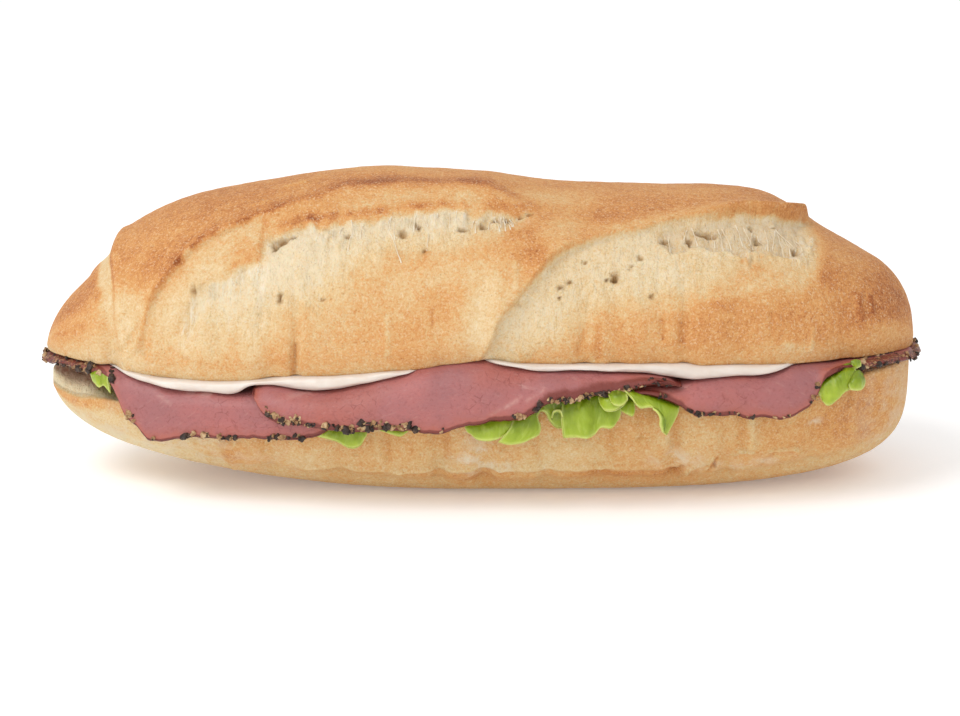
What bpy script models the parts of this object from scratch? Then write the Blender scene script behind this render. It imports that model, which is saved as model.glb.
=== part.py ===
# A filled baguette roll: two halves of bread, leaf lettuce, three draped slices of peppered
# pastrami and a layer of white cream spread under the top half.
# Metres, +Z up. X runs along the loaf, -Y is the open front that shows the filling,
# and the flat of the base rests on Z = 0 under the origin.
import math

import bmesh
import bpy
import numpy as np

MM = 0.001

# Driving dimensions
LOAF_REACH = 99.6 * MM  # from the middle of the loaf to each end of the top half
TOP_HALF_DEPTH = 36.0 * MM
BASE_REACH = 98.6 * MM
BASE_HALF_DEPTH = 35.0 * MM
SLICE_THICKNESS = 1.8 * MM
LEAF_THICKNESS = 0.6 * MM
GAP = 0.35 * MM  # kept between pieces that touch
LEAF_STAND_OFF = 0.9 * MM  # from the base's crust to the middle of a leaf that hangs over it
LEAF_HEIGHT = 0.75 * MM  # the same over the cut face
OVERLAP_RISE = 2.25 * MM  # how far a slice climbs where it lies on its neighbour
BEND_INSET = 2.3 * MM  # slices start to turn down this far inside the base's rim
BEND_DROP = 0.5 * MM
PEPPER_SIZE = 1.1 * MM

# Half-loaf outlines seen from above: 1 - share ** n, all to the power 1 / m, as (n, m) left and right
TOP_PLAN = ((2.5, 2.0), (3.2, 2.3))
TOP_RISE = ((3.0, 1.6), (3.4, 2.2))
BASE_PLAN = ((2.4, 2.0), (3.4, 2.6))
BASE_DROP = ((2.0, 2.0), (3.0, 4.5))

# Heights along the loaf, as (x, z) in millimetres
CROWN = [(-100, 39.0), (-92, 36.8), (-87.5, 37.8), (-83, 42.6), (-78, 42.6), (-69, 42.0), (-55, 40.0),
         (-40, 39.5), (-25, 39.5), (-10, 38.0), (5, 35.9), (20, 34.4), (40, 34.2), (55, 35.3), (65, 36.2),
         (74, 34.6), (79, 33.6), (88, 32.7), (93, 34.0), (100, 36.0)]
TOP_RIM_FRONT = [(-100, 29.2), (-93, 29.6), (-86, 29.6), (-74, 28.6), (-62, 29.2), (-42, 30.3), (-14, 32.0),
                 (-3, 33.7), (2, 34.3), (9, 33.4), (28, 33.2), (50, 33.0), (62, 32.1), (74, 32.0),
                 (90, 31.9), (100, 31.0)]
TOP_RIM_BACK = [(-100, 29.2), (-60, 30.4), (0, 31.4), (60, 31.8), (100, 30.8)]
BASE_RIM_FRONT = [(-100, 22.5), (-85, 21.2), (-60, 22.3), (-30, 23.2), (0, 24.0), (30, 24.5), (60, 25.0),
                  (88, 26.5), (100, 27.4)]
BASE_RIM_BACK = [(-100, 22.5), (-60, 22.8), (0, 23.6), (60, 25.0), (100, 27.4)]

SECTION_POWER = 2.25
TUCK_HEIGHT = 6.0 * MM  # the top half is widest this far above its rim
TUCK_ANGLE = 0.30
BASE_POWER = 2.6
BASE_CUT_OFF = 2.6 * MM  # how far the rounded base would bulge below the flat it stands on
FLAT_BLEND = 1.0 * MM
GIRTH_PER_DEGREE = 0.55 * MM

# Slashes in the crust: edge of the raised ear and lower limit of the opening, as (x mm, degrees round the loaf)
FIRST_EAR = [(-76, 0), (-72, 12), (-64, 21), (-61.5, 27), (-55.8, 37), (-47.8, 46), (-33, 47), (-11, 49),
             (0, 53), (9, 59), (15, 64)]
FIRST_OPENING_END = [(-76, -4), (-61, 4), (-50, 7), (-43, 10), (-33, 20), (-24, 25), (-13, 31), (-2, 38), (15, 54)]
SECOND_EAR = [(0, -22), (2.3, -14), (4.3, -2), (7.5, 8), (10.9, 19), (14, 30), (18.8, 43), (22, 46), (35, 50),
              (42, 55), (49, 61), (56, 66), (63, 70), (70, 77), (76, 92)]
SECOND_OPENING_END = [(0, -24), (4, -14), (11, -6), (17.5, 0), (26, 9), (35, 13), (43.5, 15), (52, 25), (61, 36),
                      (71, 47), (78, 67)]
KNOB_CREASE = [(-17, -81.1), (-2, -81.7), (12, -83.6), (35, -84.7), (64, -84.9), (100, -84.0), (160, -83.0)]
TOP_WRINKLES = [(-69, 3.0, 0.5), (-57, 4.0, 0.4), (-46, 2.6, 0.7), (-40, 1.6, 0.9), (-8, 2.5, 0.4), (23, 2.2, 0.7),
                (30, 2.4, 0.6), (39, 2.5, 0.5), (45, 1.8, 0.7), (57, 3.0, 0.5), (81, 3.0, 0.5)]
BASE_WRINKLES = [(-66, 3.0, 0.8), (-47, 2.2, 0.8), (-31, 2.6, 0.7), (-9, 1.8, 1.1), (1, 2.0, 1.0), (15, 2.0, 0.7),
                 (27, 2.6, 0.6), (43, 1.6, 0.9), (55, 2.0, 0.8), (75, 2.4, 0.7), (88, 2.6, 0.8)]

# Room under the pastrami for lettuce, along the loaf
LEAF_ROOM = [(-102, 3.9), (-88, 3.6), (-80, 2.6), (-72, 1.6), (-60, 1.4), (-44, 2.1), (-36, 2.2), (50, 2.2),
             (58, 1.6), (74, 1.6), (90, 2.0), (96, 1.2), (102, 1.0)]

# Pastrami: height of the top face over the front rim, of the hanging front edge and of the back edge
LEFT_SLICE = {
    "reach": (-101.7, -36.0),
    "rows": 19,
    "face_top": [(-102, 28.2), (-92, 28.4), (-86, 28.1), (-80, 27.2), (-74, 26.5), (-60, 26.5), (-46, 26.4),
                 (-36, 26.5)],
    "front_edge": [(-102, 27.2), (-90, 27.0), (-87, 25.4), (-84, 22.0), (-80.5, 18.6), (-77, 16.6), (-73, 15.8),
                   (-67, 16.8), (-61, 17.1), (-53, 16.8), (-46, 16.6), (-36, 17.6)],
    "back_edge": [(-102, 27.0), (-86, 25.0), (-70, 20.5), (-52, 19.0), (-36, 21.0)],
    "stand_off": [(-102, 3.4), (-95, 2.8), (-80, 2.6), (-70, 2.2), (-48, 2.2), (-36, 2.6)],
    "on_neighbour": [(-102, 0), (-36, 0)],
}
MIDDLE_SLICE = {
    "reach": (-52.5, 44.5),
    "rows": 25,
    "face_top": [(-53, 28.8), (-44, 28.5), (-34, 28.3), (-29, 27.8), (-24, 28.5), (-18, 30.2), (-10, 32.3), (-2, 33.3),
                 (4, 32.9), (14, 31.4), (28, 31.2), (36, 31.5), (44, 31.7)],
    "front_edge": [(-53, 26.8), (-50.5, 23.4), (-46, 20.4), (-40, 19.4), (-30, 19.8), (-20, 18.9), (-12, 18.4),
                   (-3, 19.0), (6, 20.8), (14, 24.0), (23, 27.0), (32, 29.2), (44.5, 30.3)],
    "back_edge": [(-53, 27.0), (-40, 21.5), (-15, 19.0), (12, 20.0), (22, 24.5), (29, 29.0), (44.5, 30.3)],
    "stand_off": [(-53, 4.9), (-36, 4.9), (-28, 4.2), (14, 4.2), (24, 3.4), (32, 2.8), (44, 2.0)],
    "on_neighbour": [(-53, 1), (-33, 1), (-27, 0), (20, 0), (29, 1), (45, 1)],
}
RIGHT_SLICE = {
    "reach": (32.5, 101.9),
    "rows": 19,
    "face_top": [(32, 28.6), (44, 29.3), (52, 29.8), (62, 30.0), (72, 30.0), (82, 30.1), (92, 30.5), (102, 30.2)],
    "front_edge": [(32, 27.6), (36, 26.6), (42, 24.6), (48, 23.2), (56, 22.6), (62, 21.9), (68, 21.4), (74, 21.6),
                   (78, 23.4), (81, 26.0), (84, 28.6), (88, 29.8), (102, 29.2)],
    "back_edge": [(32, 27.4), (40, 23.0), (58, 20.5), (78, 23.0), (90, 28.0), (102, 29.2)],
    "stand_off": [(32, 2.7), (40, 2.8), (93, 2.8), (102, 3.6)],
    "on_neighbour": [(32, 0), (102, 0)],
}

# Lettuce: where each leaf lies, how low its front edge hangs and how far its frills swing out below the pastrami
LEFT_LEAF = {
    "reach": (-95.0, -82.0),
    "rows": 8,
    "front_edge": [(-95, 22.6), (-91, 21.0), (-88, 20.4), (-82, 21.6)],
    "swing": [(-95, 0.6), (-91, 1.6), (-87, 0.6), (-82, 0.2)],
    "wave": 0.0,
}
MIDDLE_LEAF = {
    "reach": (-36.0, 47.0),
    "rows": 42,
    "front_edge": [(-36, 18.2), (-32, 15.2), (-27.5, 16.6), (-24, 19.0), (-19, 18.0), (-12, 18.8), (-5, 19.6), (-1, 17.4),
                   (5, 14.4), (11, 15.6), (15, 19.4), (18, 18.6), (23, 15.0), (28, 15.6), (33, 19.5), (38, 19.6),
                   (42, 16.6), (44, 17.4), (47, 22.0)],
    "swing": [(-36, 0.5), (-32, 2.4), (-27, 0.5), (-20, 1.5), (-14, 0.4), (-4, 1.2), (0, 3.6), (3.5, 1.4), (8, 4.2),
              (12.5, 1.6), (15.5, 2.6), (18, 0.7), (21, 3.9), (25, 1.4), (29, 4.2), (33, 0.8), (36, 3.0), (39, 1.0),
              (43, 3.4), (47, 0.6)],
    "wave": 0.22,
}
RIGHT_LEAF = {
    "reach": (76.0, 93.0),
    "rows": 10,
    "front_edge": [(76, 22.0), (79, 20.4), (83, 21.8), (87, 24.8), (93, 27.2)],
    "swing": [(76, 0.4), (79, 2.0), (82, 0.6), (86, 1.6), (93, 0.3)],
    "wave": 0.0,
}

SPREAD_REACH = (-84.0, 81.0)
SPREAD_FRONT_SETBACK = [(-84, 2.5), (-80, 0.6), (-20, 0.6), (-16, 5.0), (-13, 13.0), (-2, 13.0), (2, 7.0), (6, 0.6),
                        (76, 0.6), (81, 3.0)]
SPREAD_BACK_SETBACK = [(-84, 8.0), (-60, 2.0), (-20, 3.5), (20, 1.5), (55, 3.0), (81, 8.0)]

COLOURS = {
    "crust": (0.72, 0.42, 0.18, 0.62),
    "crust_base": (0.62, 0.40, 0.20, 0.66),
    "spread": (0.86, 0.80, 0.73, 0.35),
    "pastrami": (0.50, 0.17, 0.16, 0.42),
    "lettuce": (0.30, 0.45, 0.05, 0.40),
}


def clear_scene():
    for obj in list(bpy.data.objects):
        bpy.data.objects.remove(obj, do_unlink=True)


def finish(name):
    red, green, blue, roughness = COLOURS[name]
    material = bpy.data.materials.get(name) or bpy.data.materials.new(name)
    material.use_nodes = True
    shader = material.node_tree.nodes["Principled BSDF"]
    shader.inputs["Base Color"].default_value = (red, green, blue, 1)
    shader.inputs["Roughness"].default_value = roughness
    shader.inputs["Metallic"].default_value = 0
    return material


def through(points, x):
    """A smooth line through (mm, value) points, read at x in metres, with no overshoot."""
    points = np.array(points, float)
    xs, values = points[:, 0] * MM, points[:, 1]
    slopes = np.diff(values) / np.diff(xs)
    tangents = np.concatenate([slopes[:1], (slopes[:-1] + slopes[1:]) / 2, slopes[-1:]])
    for i in range(1, len(tangents) - 1):
        before, after = slopes[i - 1], slopes[i]
        limit = 3 * min(abs(before), abs(after)) if before * after > 0 else 0
        tangents[i] = np.clip(tangents[i], -limit, limit)
    x = np.clip(x, xs[0], xs[-1])
    i = np.clip(np.searchsorted(xs, x) - 1, 0, len(xs) - 2)
    width = xs[i + 1] - xs[i]
    t = (x - xs[i]) / width
    return (
        (2 * t**3 - 3 * t**2 + 1) * values[i]
        + (t**3 - 2 * t**2 + t) * width * tangents[i]
        + (3 * t**2 - 2 * t**3) * values[i + 1]
        + (t**3 - t**2) * width * tangents[i + 1]
    )


def step(low, high, x):
    t = np.clip((x - low) / (high - low), 0, 1)
    return t * t * (3 - 2 * t)


def taper(x, reach, powers):
    """1 along the middle of the loaf and 0 at its ends, rounder or sharper with its two powers."""
    share = np.clip(np.abs(x) / reach, 0, 1)
    n = np.where(x < 0, powers[0][0], powers[1][0])
    m = np.where(x < 0, powers[0][1], powers[1][1])
    return np.maximum(1 - share**n, 0) ** (1 / m)


def stations(reach, count):
    """Places along the loaf, closer together towards both ends, without the ends themselves."""
    turn = np.linspace(-math.pi / 2, math.pi / 2, count + 2)[1:-1]
    return reach * np.sin(turn)


def between_rims(front, back, x, y, half_depth):
    """Height of a cut face: straight from its front rim to its back rim."""
    share = np.clip((y / np.maximum(half_depth, 1e-6) + 1) / 2, 0, 1)
    return ((1 - share) * through(front, x) + share * through(back, x)) * MM


def top_half_depth(x):
    return TOP_HALF_DEPTH * taper(x, LOAF_REACH, TOP_PLAN)


def base_half_depth(x, outside=0.0):
    """Half the depth of the base at its rim, or of a line that runs a little outside it all round."""
    return (BASE_HALF_DEPTH + outside) * taper(x, BASE_REACH + outside, BASE_PLAN)


def top_cut(x, y):
    return between_rims(TOP_RIM_FRONT, TOP_RIM_BACK, x, y, top_half_depth(x))


def base_cut(x, y):
    return between_rims(BASE_RIM_FRONT, BASE_RIM_BACK, x, y, base_half_depth(x))


def wrinkles(folds, x):
    """Soft upright folds, each (x mm, width mm, depth mm), pressed into the crust."""
    total = np.zeros_like(x)
    for place, width, depth in folds:
        total -= depth * MM * np.exp(-(((x - place * MM) / (width * MM)) ** 2))
    return total


def uneven(x, angle):
    """Slow lumps that no hand-shaped loaf is without."""
    return 0.35 * MM * (
        np.sin(x / (13 * MM) + 2.1 * angle) * np.cos(x / (29 * MM) - 1.3 * angle + 0.7)
        + 0.8 * np.sin(x / (7.5 * MM) - 3.0 * angle + 1.9) * np.cos(2.3 * angle)
    )


def slash(x, degrees, ear, opening_end, reach, depth, lip):
    """Raised ear and sunken opening of one slash, in metres along the crust's normal."""
    edge = through(ear, x)
    width = np.maximum(edge - through(opening_end, x), 4) * GIRTH_PER_DEGREE
    lean = (through(ear, x + MM) - through(ear, x - MM)) / (2 * MM) * GIRTH_PER_DEGREE
    below = (edge - degrees) * GIRTH_PER_DEGREE / np.sqrt(1 + lean**2)
    inside = step(reach[0] * MM, (reach[0] + 6) * MM, x) * (1 - step((reach[1] - 8) * MM, reach[1] * MM, x))
    opening = step(-0.4 * MM, 2.2 * MM, below) * (1 - step(0.3, 1.0, below / width))
    ear_lift = np.where(below < 0, np.exp(-((below / (4.0 * MM)) ** 2)), np.exp(-((below / (0.9 * MM)) ** 2)))
    return inside * (lip * ear_lift - depth * opening)


def top_relief(x, angle):
    degrees = np.degrees(angle)
    crease = np.exp(-(((x - through_angle(KNOB_CREASE, degrees)) / (2.2 * MM)) ** 2))
    front_band = 1 - step(12, 34, degrees)
    right_ear = step(45 * MM, 66 * MM, x)
    return (
        uneven(x, angle) * step(-17, 10, degrees) * (1 - step(170, 197, degrees))
        - 0.9 * MM * crease
        + wrinkles(TOP_WRINKLES, x) * front_band
        + wrinkles(TOP_WRINKLES, -x) * step(150, 172, degrees)
        + slash(x, degrees, FIRST_EAR, FIRST_OPENING_END, (-74, 15), 2.0 * MM, 0.7 * MM)
        + slash(x, degrees, SECOND_EAR, SECOND_OPENING_END, (0, 80), 2.3 * MM, 0.5 * MM + 1.3 * MM * right_ear)
    )


def through_angle(points, degrees):
    """A smooth line through (degrees, mm) points, in metres."""
    return through(points, degrees * MM) * MM


def top_section(x, angle):
    """Point on the crust of the top half: angle 0 is the widest line at the front, pi the one at the back."""
    half = top_half_depth(x)
    height = through(CROWN, x) * MM * taper(x, LOAF_REACH, TOP_RISE)
    cosine, sine = np.cos(angle), np.sin(angle)
    y = -half * np.sign(cosine) * np.abs(cosine) ** (2 / SECTION_POWER)
    tuck = TUCK_HEIGHT * np.minimum(1, height / (20 * MM))
    arch = tuck + (height - tuck) * np.abs(sine) ** (2 / SECTION_POWER)
    under = tuck * (1 + sine / math.sin(TUCK_ANGLE))
    return np.stack([x, y, top_cut(x, y) + np.where(sine >= 0, arch, under)], axis=-1)


def base_section(x, angle):
    """Point on the crust of the base: angle 0 is its front rim, pi / 2 the underside, pi the back rim."""
    half = base_half_depth(x)
    cosine, sine = np.cos(angle), np.sin(angle)
    y = -half * np.sign(cosine) * np.abs(cosine) ** (2 / BASE_POWER)
    rim = base_cut(x, y)
    depth = (rim + BASE_CUT_OFF) * taper(x, BASE_REACH, BASE_DROP)
    return np.stack([x, y, rim - depth * np.abs(sine) ** (2 / BASE_POWER)], axis=-1)


def outward(grid):
    """Unit normals of a grid of points, to the left of its rows as its columns go on."""
    across = np.cross(np.gradient(grid, axis=1), np.gradient(grid, axis=0))
    return across / np.maximum(np.linalg.norm(across, axis=2, keepdims=True), 1e-12)


def make_object(name, points, faces, material, smooth=True):
    mesh = bpy.data.meshes.new(name)
    mesh.from_pydata([tuple(p) for p in points], [], faces)
    bm = bmesh.new()
    bm.from_mesh(mesh)
    bmesh.ops.recalc_face_normals(bm, faces=bm.faces)
    bm.to_mesh(mesh)
    bm.free()
    if smooth:
        mesh.shade_smooth()
        mesh.set_sharp_from_angle(angle=math.radians(45))
    mesh.materials.append(finish(material))
    obj = bpy.data.objects.new(name, mesh)
    bpy.context.scene.collection.objects.link(obj)
    return obj


def loaf_object(name, rings, first_end, last_end, material):
    """Closed rings along the loaf, joined into one skin with a point at each end."""
    count, size = rings.shape[:2]
    points = [*rings.reshape(-1, 3), first_end, last_end]
    faces = []
    for i in range(count - 1):
        for j in range(size):
            k = (j + 1) % size
            faces.append((i * size + j, i * size + k, (i + 1) * size + k, (i + 1) * size + j))
    last = (count - 1) * size
    for j in range(size):
        k = (j + 1) % size
        faces.append((count * size, k, j))
        faces.append((count * size + 1, last + j, last + k))
    return make_object(name, points, faces, material)


def sheet_object(name, middle, thickness, material):
    """A grid given thickness, with both faces split into triangles alike."""
    rows, columns = middle.shape[:2]
    half = outward(middle) * thickness / 2
    points = [*(middle + half).reshape(-1, 3), *(middle - half).reshape(-1, 3)]
    under = rows * columns
    faces = []
    for i in range(rows - 1):
        for j in range(columns - 1):
            a, b = i * columns + j, i * columns + j + 1
            c, d = a + columns, b + columns
            for corners in ((a, b, d), (a, d, c)):
                faces.append(corners)
                faces.append(tuple(under + corner for corner in reversed(corners)))
    rim = [j for j in range(columns)] + [i * columns + columns - 1 for i in range(1, rows)]
    rim += [(rows - 1) * columns + j for j in range(columns - 2, -1, -1)]
    rim += [i * columns for i in range(rows - 2, 0, -1)]
    for a, b in zip(rim, rim[1:] + rim[:1]):
        faces.append((a, b, under + b, under + a))
    return make_object(name, points, faces, material)


def make_top():
    x = stations(LOAF_REACH, 54)[:, None]
    angle = np.linspace(-TUCK_ANGLE, math.pi + TUCK_ANGLE, 29)[None, :]
    x, angle = np.broadcast_arrays(x, angle)
    skin = top_section(x, angle)
    fade = np.clip(taper(x, LOAF_REACH, TOP_PLAN) * 1.6, 0, 1)
    skin = skin - outward(skin) * (top_relief(x, angle) * fade)[..., None]
    share = np.linspace(0, 1, 5)[None, 1:-1, None]
    floor = skin[:, -1:] * (1 - share) + skin[:, :1] * share
    tips = [np.array([end * LOAF_REACH, 0, float(top_cut(np.array(end * LOAF_REACH), 0.0)) + 1.5 * MM])
            for end in (-1, 1)]
    return loaf_object("bread_top", np.concatenate([skin, floor], axis=1), *tips, "crust")


def make_base():
    x = stations(BASE_REACH, 40)[:, None]
    angle = np.linspace(0, math.pi, 21)[None, :]
    x, angle = np.broadcast_arrays(x, angle)
    skin = base_section(x, angle)
    degrees = np.degrees(angle)
    side = step(0, 14, degrees) * (1 - step(46, 60, degrees))
    back = step(120, 134, degrees) * (1 - step(166, 180, degrees))
    lumps = uneven(x, angle) - 0.5 * MM
    relief = (wrinkles(BASE_WRINKLES, x) + lumps) * side + (wrinkles(BASE_WRINKLES, 9 * MM - x) + lumps) * back
    pinch = np.exp(-(((degrees - 46) / 5) ** 2)) + np.exp(-(((degrees - 134) / 5) ** 2))
    fade = np.clip(taper(x, BASE_REACH, BASE_PLAN) * 1.7 - 0.5, 0, 1)
    skin = skin + outward(skin) * ((relief - 0.5 * MM * pinch) * fade)[..., None]
    z = skin[..., 2]
    eased = np.where(z < FLAT_BLEND, np.maximum(z + FLAT_BLEND, 0) ** 2 / (4 * FLAT_BLEND), z)
    skin[..., 2] = eased
    share = np.linspace(0, 1, 5)[None, 1:-1, None]
    face = skin[:, -1:] * (1 - share) + skin[:, :1] * share
    tips = [np.array([end * BASE_REACH, 0, float(base_cut(np.array(end * BASE_REACH), 0.0)) - 1.0 * MM])
            for end in (-1, 1)]
    return loaf_object("bread_base", np.concatenate([skin, face], axis=1), *tips, "crust_base")


def slice_level(plan, x, y):
    """Middle of a slice's thickness where it lies between the halves, rising to its front rim."""
    rise = through(plan["on_neighbour"], x) * OVERLAP_RISE
    inner = base_cut(x, y) + through(LEAF_ROOM, x) * MM + SLICE_THICKNESS / 2 + rise
    front = through(plan["face_top"], x) * MM - SLICE_THICKNESS / 2
    return inner + (front - inner) * step(0.35, 0.95, -y / np.maximum(base_half_depth(x), 4 * MM))


def turn_down(start, hang, level, turn_end, edge, counts):
    """From the flat round an elliptic bend and straight down to a hanging edge, as (y, z) pairs."""
    across, down = hang - start, level - turn_end
    around = [(start + across * math.sin(t), turn_end + down * math.cos(t))
              for t in np.linspace(0, math.pi / 2, counts[0] + 1)[1:]]
    fall = [(hang, turn_end + (edge - turn_end) * t) for t in np.linspace(0, 1, counts[1] + 1)[1:]]
    return around + fall


def draped_path(plan, x, flat_count, front_counts, back_counts):
    """Middle of a slice from its back edge, over the filling, to its hanging front edge, at each x."""
    off = through(plan["stand_off"], x) * MM
    hang = base_half_depth(x, off)
    start = np.maximum(base_half_depth(x) - BEND_INSET, 0.3 * hang)
    sides = []
    for side, edge_name, counts in ((1, "back_edge", back_counts), (-1, "front_edge", front_counts)):
        level = slice_level(plan, x, side * start)
        edge = np.minimum(through(plan[edge_name], x) * MM, level - 0.15 * MM)
        turn_end = np.maximum(base_cut(x, side * start) - BEND_DROP, level - 0.85 * (level - edge))
        sides.append([(side * y, z) for y, z in turn_down(start, hang, level, turn_end, edge, counts)])
    flat = [(start * t, slice_level(plan, x, start * t)) for t in np.linspace(1, -1, flat_count)]
    path = sides[0][::-1] + flat + sides[1]
    return np.stack([np.stack([x, y, z], axis=-1) for y, z in path], axis=1)


def pepper_lump(rng, place, size):
    """A cracked peppercorn or seed: a rough ball of twenty faces."""
    bm = bmesh.new()
    bmesh.ops.create_icosphere(bm, subdivisions=1, radius=size)
    for vertex in bm.verts:
        vertex.co *= rng.uniform(0.8, 1.1)
    mesh = bpy.data.meshes.new("pepper")
    bm.to_mesh(mesh)
    bm.free()
    lump = bpy.data.objects.new("pepper", mesh)
    lump.location = place
    lump.rotation_euler = rng.uniform(0, math.pi, 3)
    return lump


def press_pepper(target, places, seed):
    """Joins cracked pepper to a slice with one Boolean union."""
    rng = np.random.default_rng(seed)
    pepper = bpy.data.collections.new("pepper")
    bpy.context.scene.collection.children.link(pepper)
    for place in places:
        pepper.objects.link(pepper_lump(rng, place, PEPPER_SIZE * rng.uniform(0.8, 1.15)))
    union = target.modifiers.new("pepper", "BOOLEAN")
    union.operation = "UNION"
    union.operand_type = "COLLECTION"
    union.collection = pepper
    union.solver = "MANIFOLD"
    bpy.context.view_layer.update()
    joined = bpy.data.meshes.new_from_object(target.evaluated_get(bpy.context.evaluated_depsgraph_get()))
    target.modifiers.clear()
    target.data = joined
    for lump in list(pepper.objects):
        bpy.data.objects.remove(lump, do_unlink=True)
    bpy.data.collections.remove(pepper)


def make_slice(name, plan, pepper_at, seed):
    low, high = (end * MM for end in plan["reach"])
    x = np.linspace(low, high, plan["rows"])
    middle = draped_path(plan, x, 5, (3, 3), (3, 1))
    target = sheet_object(name, middle, SLICE_THICKNESS, "pastrami")
    edge = middle[:, -1] - np.array([0, 0.5, 0.2]) * MM
    places = [[np.interp(place * MM, x, edge[:, axis]) for axis in range(3)] for place in pepper_at]
    press_pepper(target, places, seed)


def lowest_pastrami(x):
    """Height of the lowest hanging edge of pastrami at each x."""
    lowest = np.full(len(x), 1.0)
    for plan in (LEFT_SLICE, MIDDLE_SLICE, RIGHT_SLICE):
        low, high = (end * MM for end in plan["reach"])
        covered = (x > low - 2 * MM) & (x < high + 2 * MM)
        lowest = np.where(covered, np.minimum(lowest, through(plan["front_edge"], x) * MM), lowest)
    return lowest


def make_leaf(name, leaf):
    """A thin leaf that lies on the base, turns over its front rim and swings out in frills below the pastrami."""
    low, high = (end * MM for end in leaf["reach"])
    x = np.linspace(low, high, leaf["rows"])
    half = base_half_depth(x)
    wave = leaf["wave"] * MM * (1 + np.sin(x / (2.1 * MM))) * step(low, low + 6 * MM, x) * step(high, high - 6 * MM, x)
    start = half - 0.5 * MM
    hang = base_half_depth(x, LEAF_STAND_OFF)
    columns = []
    for share in (-0.9, -0.2, 0.6, 0.97):
        y = -start * share
        columns.append((x, y, base_cut(x, y) + LEAF_HEIGHT + wave))
    level = base_cut(x, -start) + LEAF_HEIGHT
    columns.append((x, -(start + hang) / 2 - 0.2 * MM, level - 0.15 * MM))
    top = base_cut(x, -start) - 0.3 * MM
    edge = np.minimum(through(leaf["front_edge"], x) * MM, top - 0.6 * MM)
    free = np.minimum(lowest_pastrami(x) - 1.7 * MM, top)
    swing = through(leaf["swing"], x) * MM
    sway = -1.1 * np.gradient(swing, x) * MM
    for t in (0.0, 0.34, 0.67, 1.0):
        z = top + (edge - top) * t
        out = step(0, 3.5 * MM, free - z)
        columns.append((x + sway * out, -hang - swing * out, z))
    middle = np.stack([np.stack(column, axis=-1) for column in columns], axis=1)
    sheet_object(name, middle, LEAF_THICKNESS, "lettuce")


def highest_slice(x, y):
    """Top face of the uppermost pastrami at one x, for every y."""
    top = np.full(len(y), -1.0)
    for plan in (LEFT_SLICE, MIDDLE_SLICE, RIGHT_SLICE):
        low, high = (end * MM for end in plan["reach"])
        if low - 3 * MM < x < high + 3 * MM:
            near = np.clip([x - 2 * MM, x, x + 2 * MM], low, high)
            for row in draped_path(plan, near, 15, (8, 6), (4, 2)):
                ahead = np.gradient(row, axis=0)
                lift = np.stack([-ahead[:, 2], ahead[:, 1]], axis=1)
                lift *= -SLICE_THICKNESS / 2 / np.linalg.norm(lift, axis=1, keepdims=True)
                outer = row[:, 1:] + lift
                order = np.argsort(outer[:, 0])
                top = np.maximum(top, np.interp(y, outer[order, 0], outer[order, 1]))
    return top


def clear_of_slices(x, y, reach):
    """Heights at each y whose straight joins stay above the pastrami, as far as reach either side of x."""
    heights = highest_slice(x, y)
    for i in range(len(y) - 1):
        between = np.linspace(y[i], y[i + 1], 12)
        needed = np.max([highest_slice(place, between) for place in (x - reach, x, x + reach)], axis=0)
        short = max(0.0, float(np.max(needed - np.interp(between, y, heights))))
        heights[i:i + 2] += short
    return heights


def make_spread():
    low, high = (end * MM for end in SPREAD_REACH)
    x = np.linspace(low, high, 31)
    half = top_half_depth(x) * 0.96
    front = -(half - through(SPREAD_FRONT_SETBACK, x) * MM)
    back = half - through(SPREAD_BACK_SETBACK, x) * MM
    across = np.array([0, 0.03, 0.1, 0.35, 0.65, 0.95, 1.0])
    rings = []
    for i, place in enumerate(x):
        y = front[i] + (back[i] - front[i]) * across
        upper = top_cut(np.full(len(y), place), y) - GAP
        lower = np.minimum(clear_of_slices(place, y, 1.5 * MM) + GAP, upper - 0.5 * MM)
        ring = [(place, a, b) for a, b in zip(y, upper)] + [(place, a, b) for a, b in zip(y[::-1], lower[::-1])]
        rings.append(ring)
    rings = np.array(rings)
    loaf_object("cream_spread", rings, rings[0].mean(axis=0), rings[-1].mean(axis=0), "spread")


def centre_over_base():
    """Puts the middle of the whole sandwich over the origin."""
    objects = [obj for obj in bpy.data.objects if obj.type == "MESH"]
    points = np.array([vertex.co for obj in objects for vertex in obj.data.vertices])
    middle = (points.min(axis=0) + points.max(axis=0)) / 2
    for obj in objects:
        for vertex in obj.data.vertices:
            vertex.co.x -= middle[0]
            vertex.co.y -= middle[1]


def main():
    clear_scene()
    make_base()
    make_leaf("lettuce_left", LEFT_LEAF)
    make_leaf("lettuce_middle", MIDDLE_LEAF)
    make_leaf("lettuce_right", RIGHT_LEAF)
    make_slice("pastrami_left", LEFT_SLICE, [-98, -92, -88, -79, -69, -62, -55, -47, -41], 3)
    make_slice("pastrami_middle", MIDDLE_SLICE, [-50, -46.5, -43, -29, -24, -19, -13, 7, 12, 17, 22, 27, 32], 5)
    make_slice("pastrami_right", RIGHT_SLICE, [36, 41, 50, 57, 66, 79, 82, 88, 93, 98], 7)
    make_spread()
    make_top()
    centre_over_base()


main()
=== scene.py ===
import math

import bpy
import numpy as np
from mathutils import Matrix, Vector


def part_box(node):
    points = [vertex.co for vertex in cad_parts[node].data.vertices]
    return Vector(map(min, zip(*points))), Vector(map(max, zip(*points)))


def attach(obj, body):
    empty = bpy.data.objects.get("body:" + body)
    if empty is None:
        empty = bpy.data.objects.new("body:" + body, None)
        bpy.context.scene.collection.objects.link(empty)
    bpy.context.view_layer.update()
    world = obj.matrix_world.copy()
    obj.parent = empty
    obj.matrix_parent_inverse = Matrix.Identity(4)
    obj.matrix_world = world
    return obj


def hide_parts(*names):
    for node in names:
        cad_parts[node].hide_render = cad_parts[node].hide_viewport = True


# Everything is laid out in millimetres round the loaf's own middle and scaled once, in makeMesh.
mm = 0.001

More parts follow.
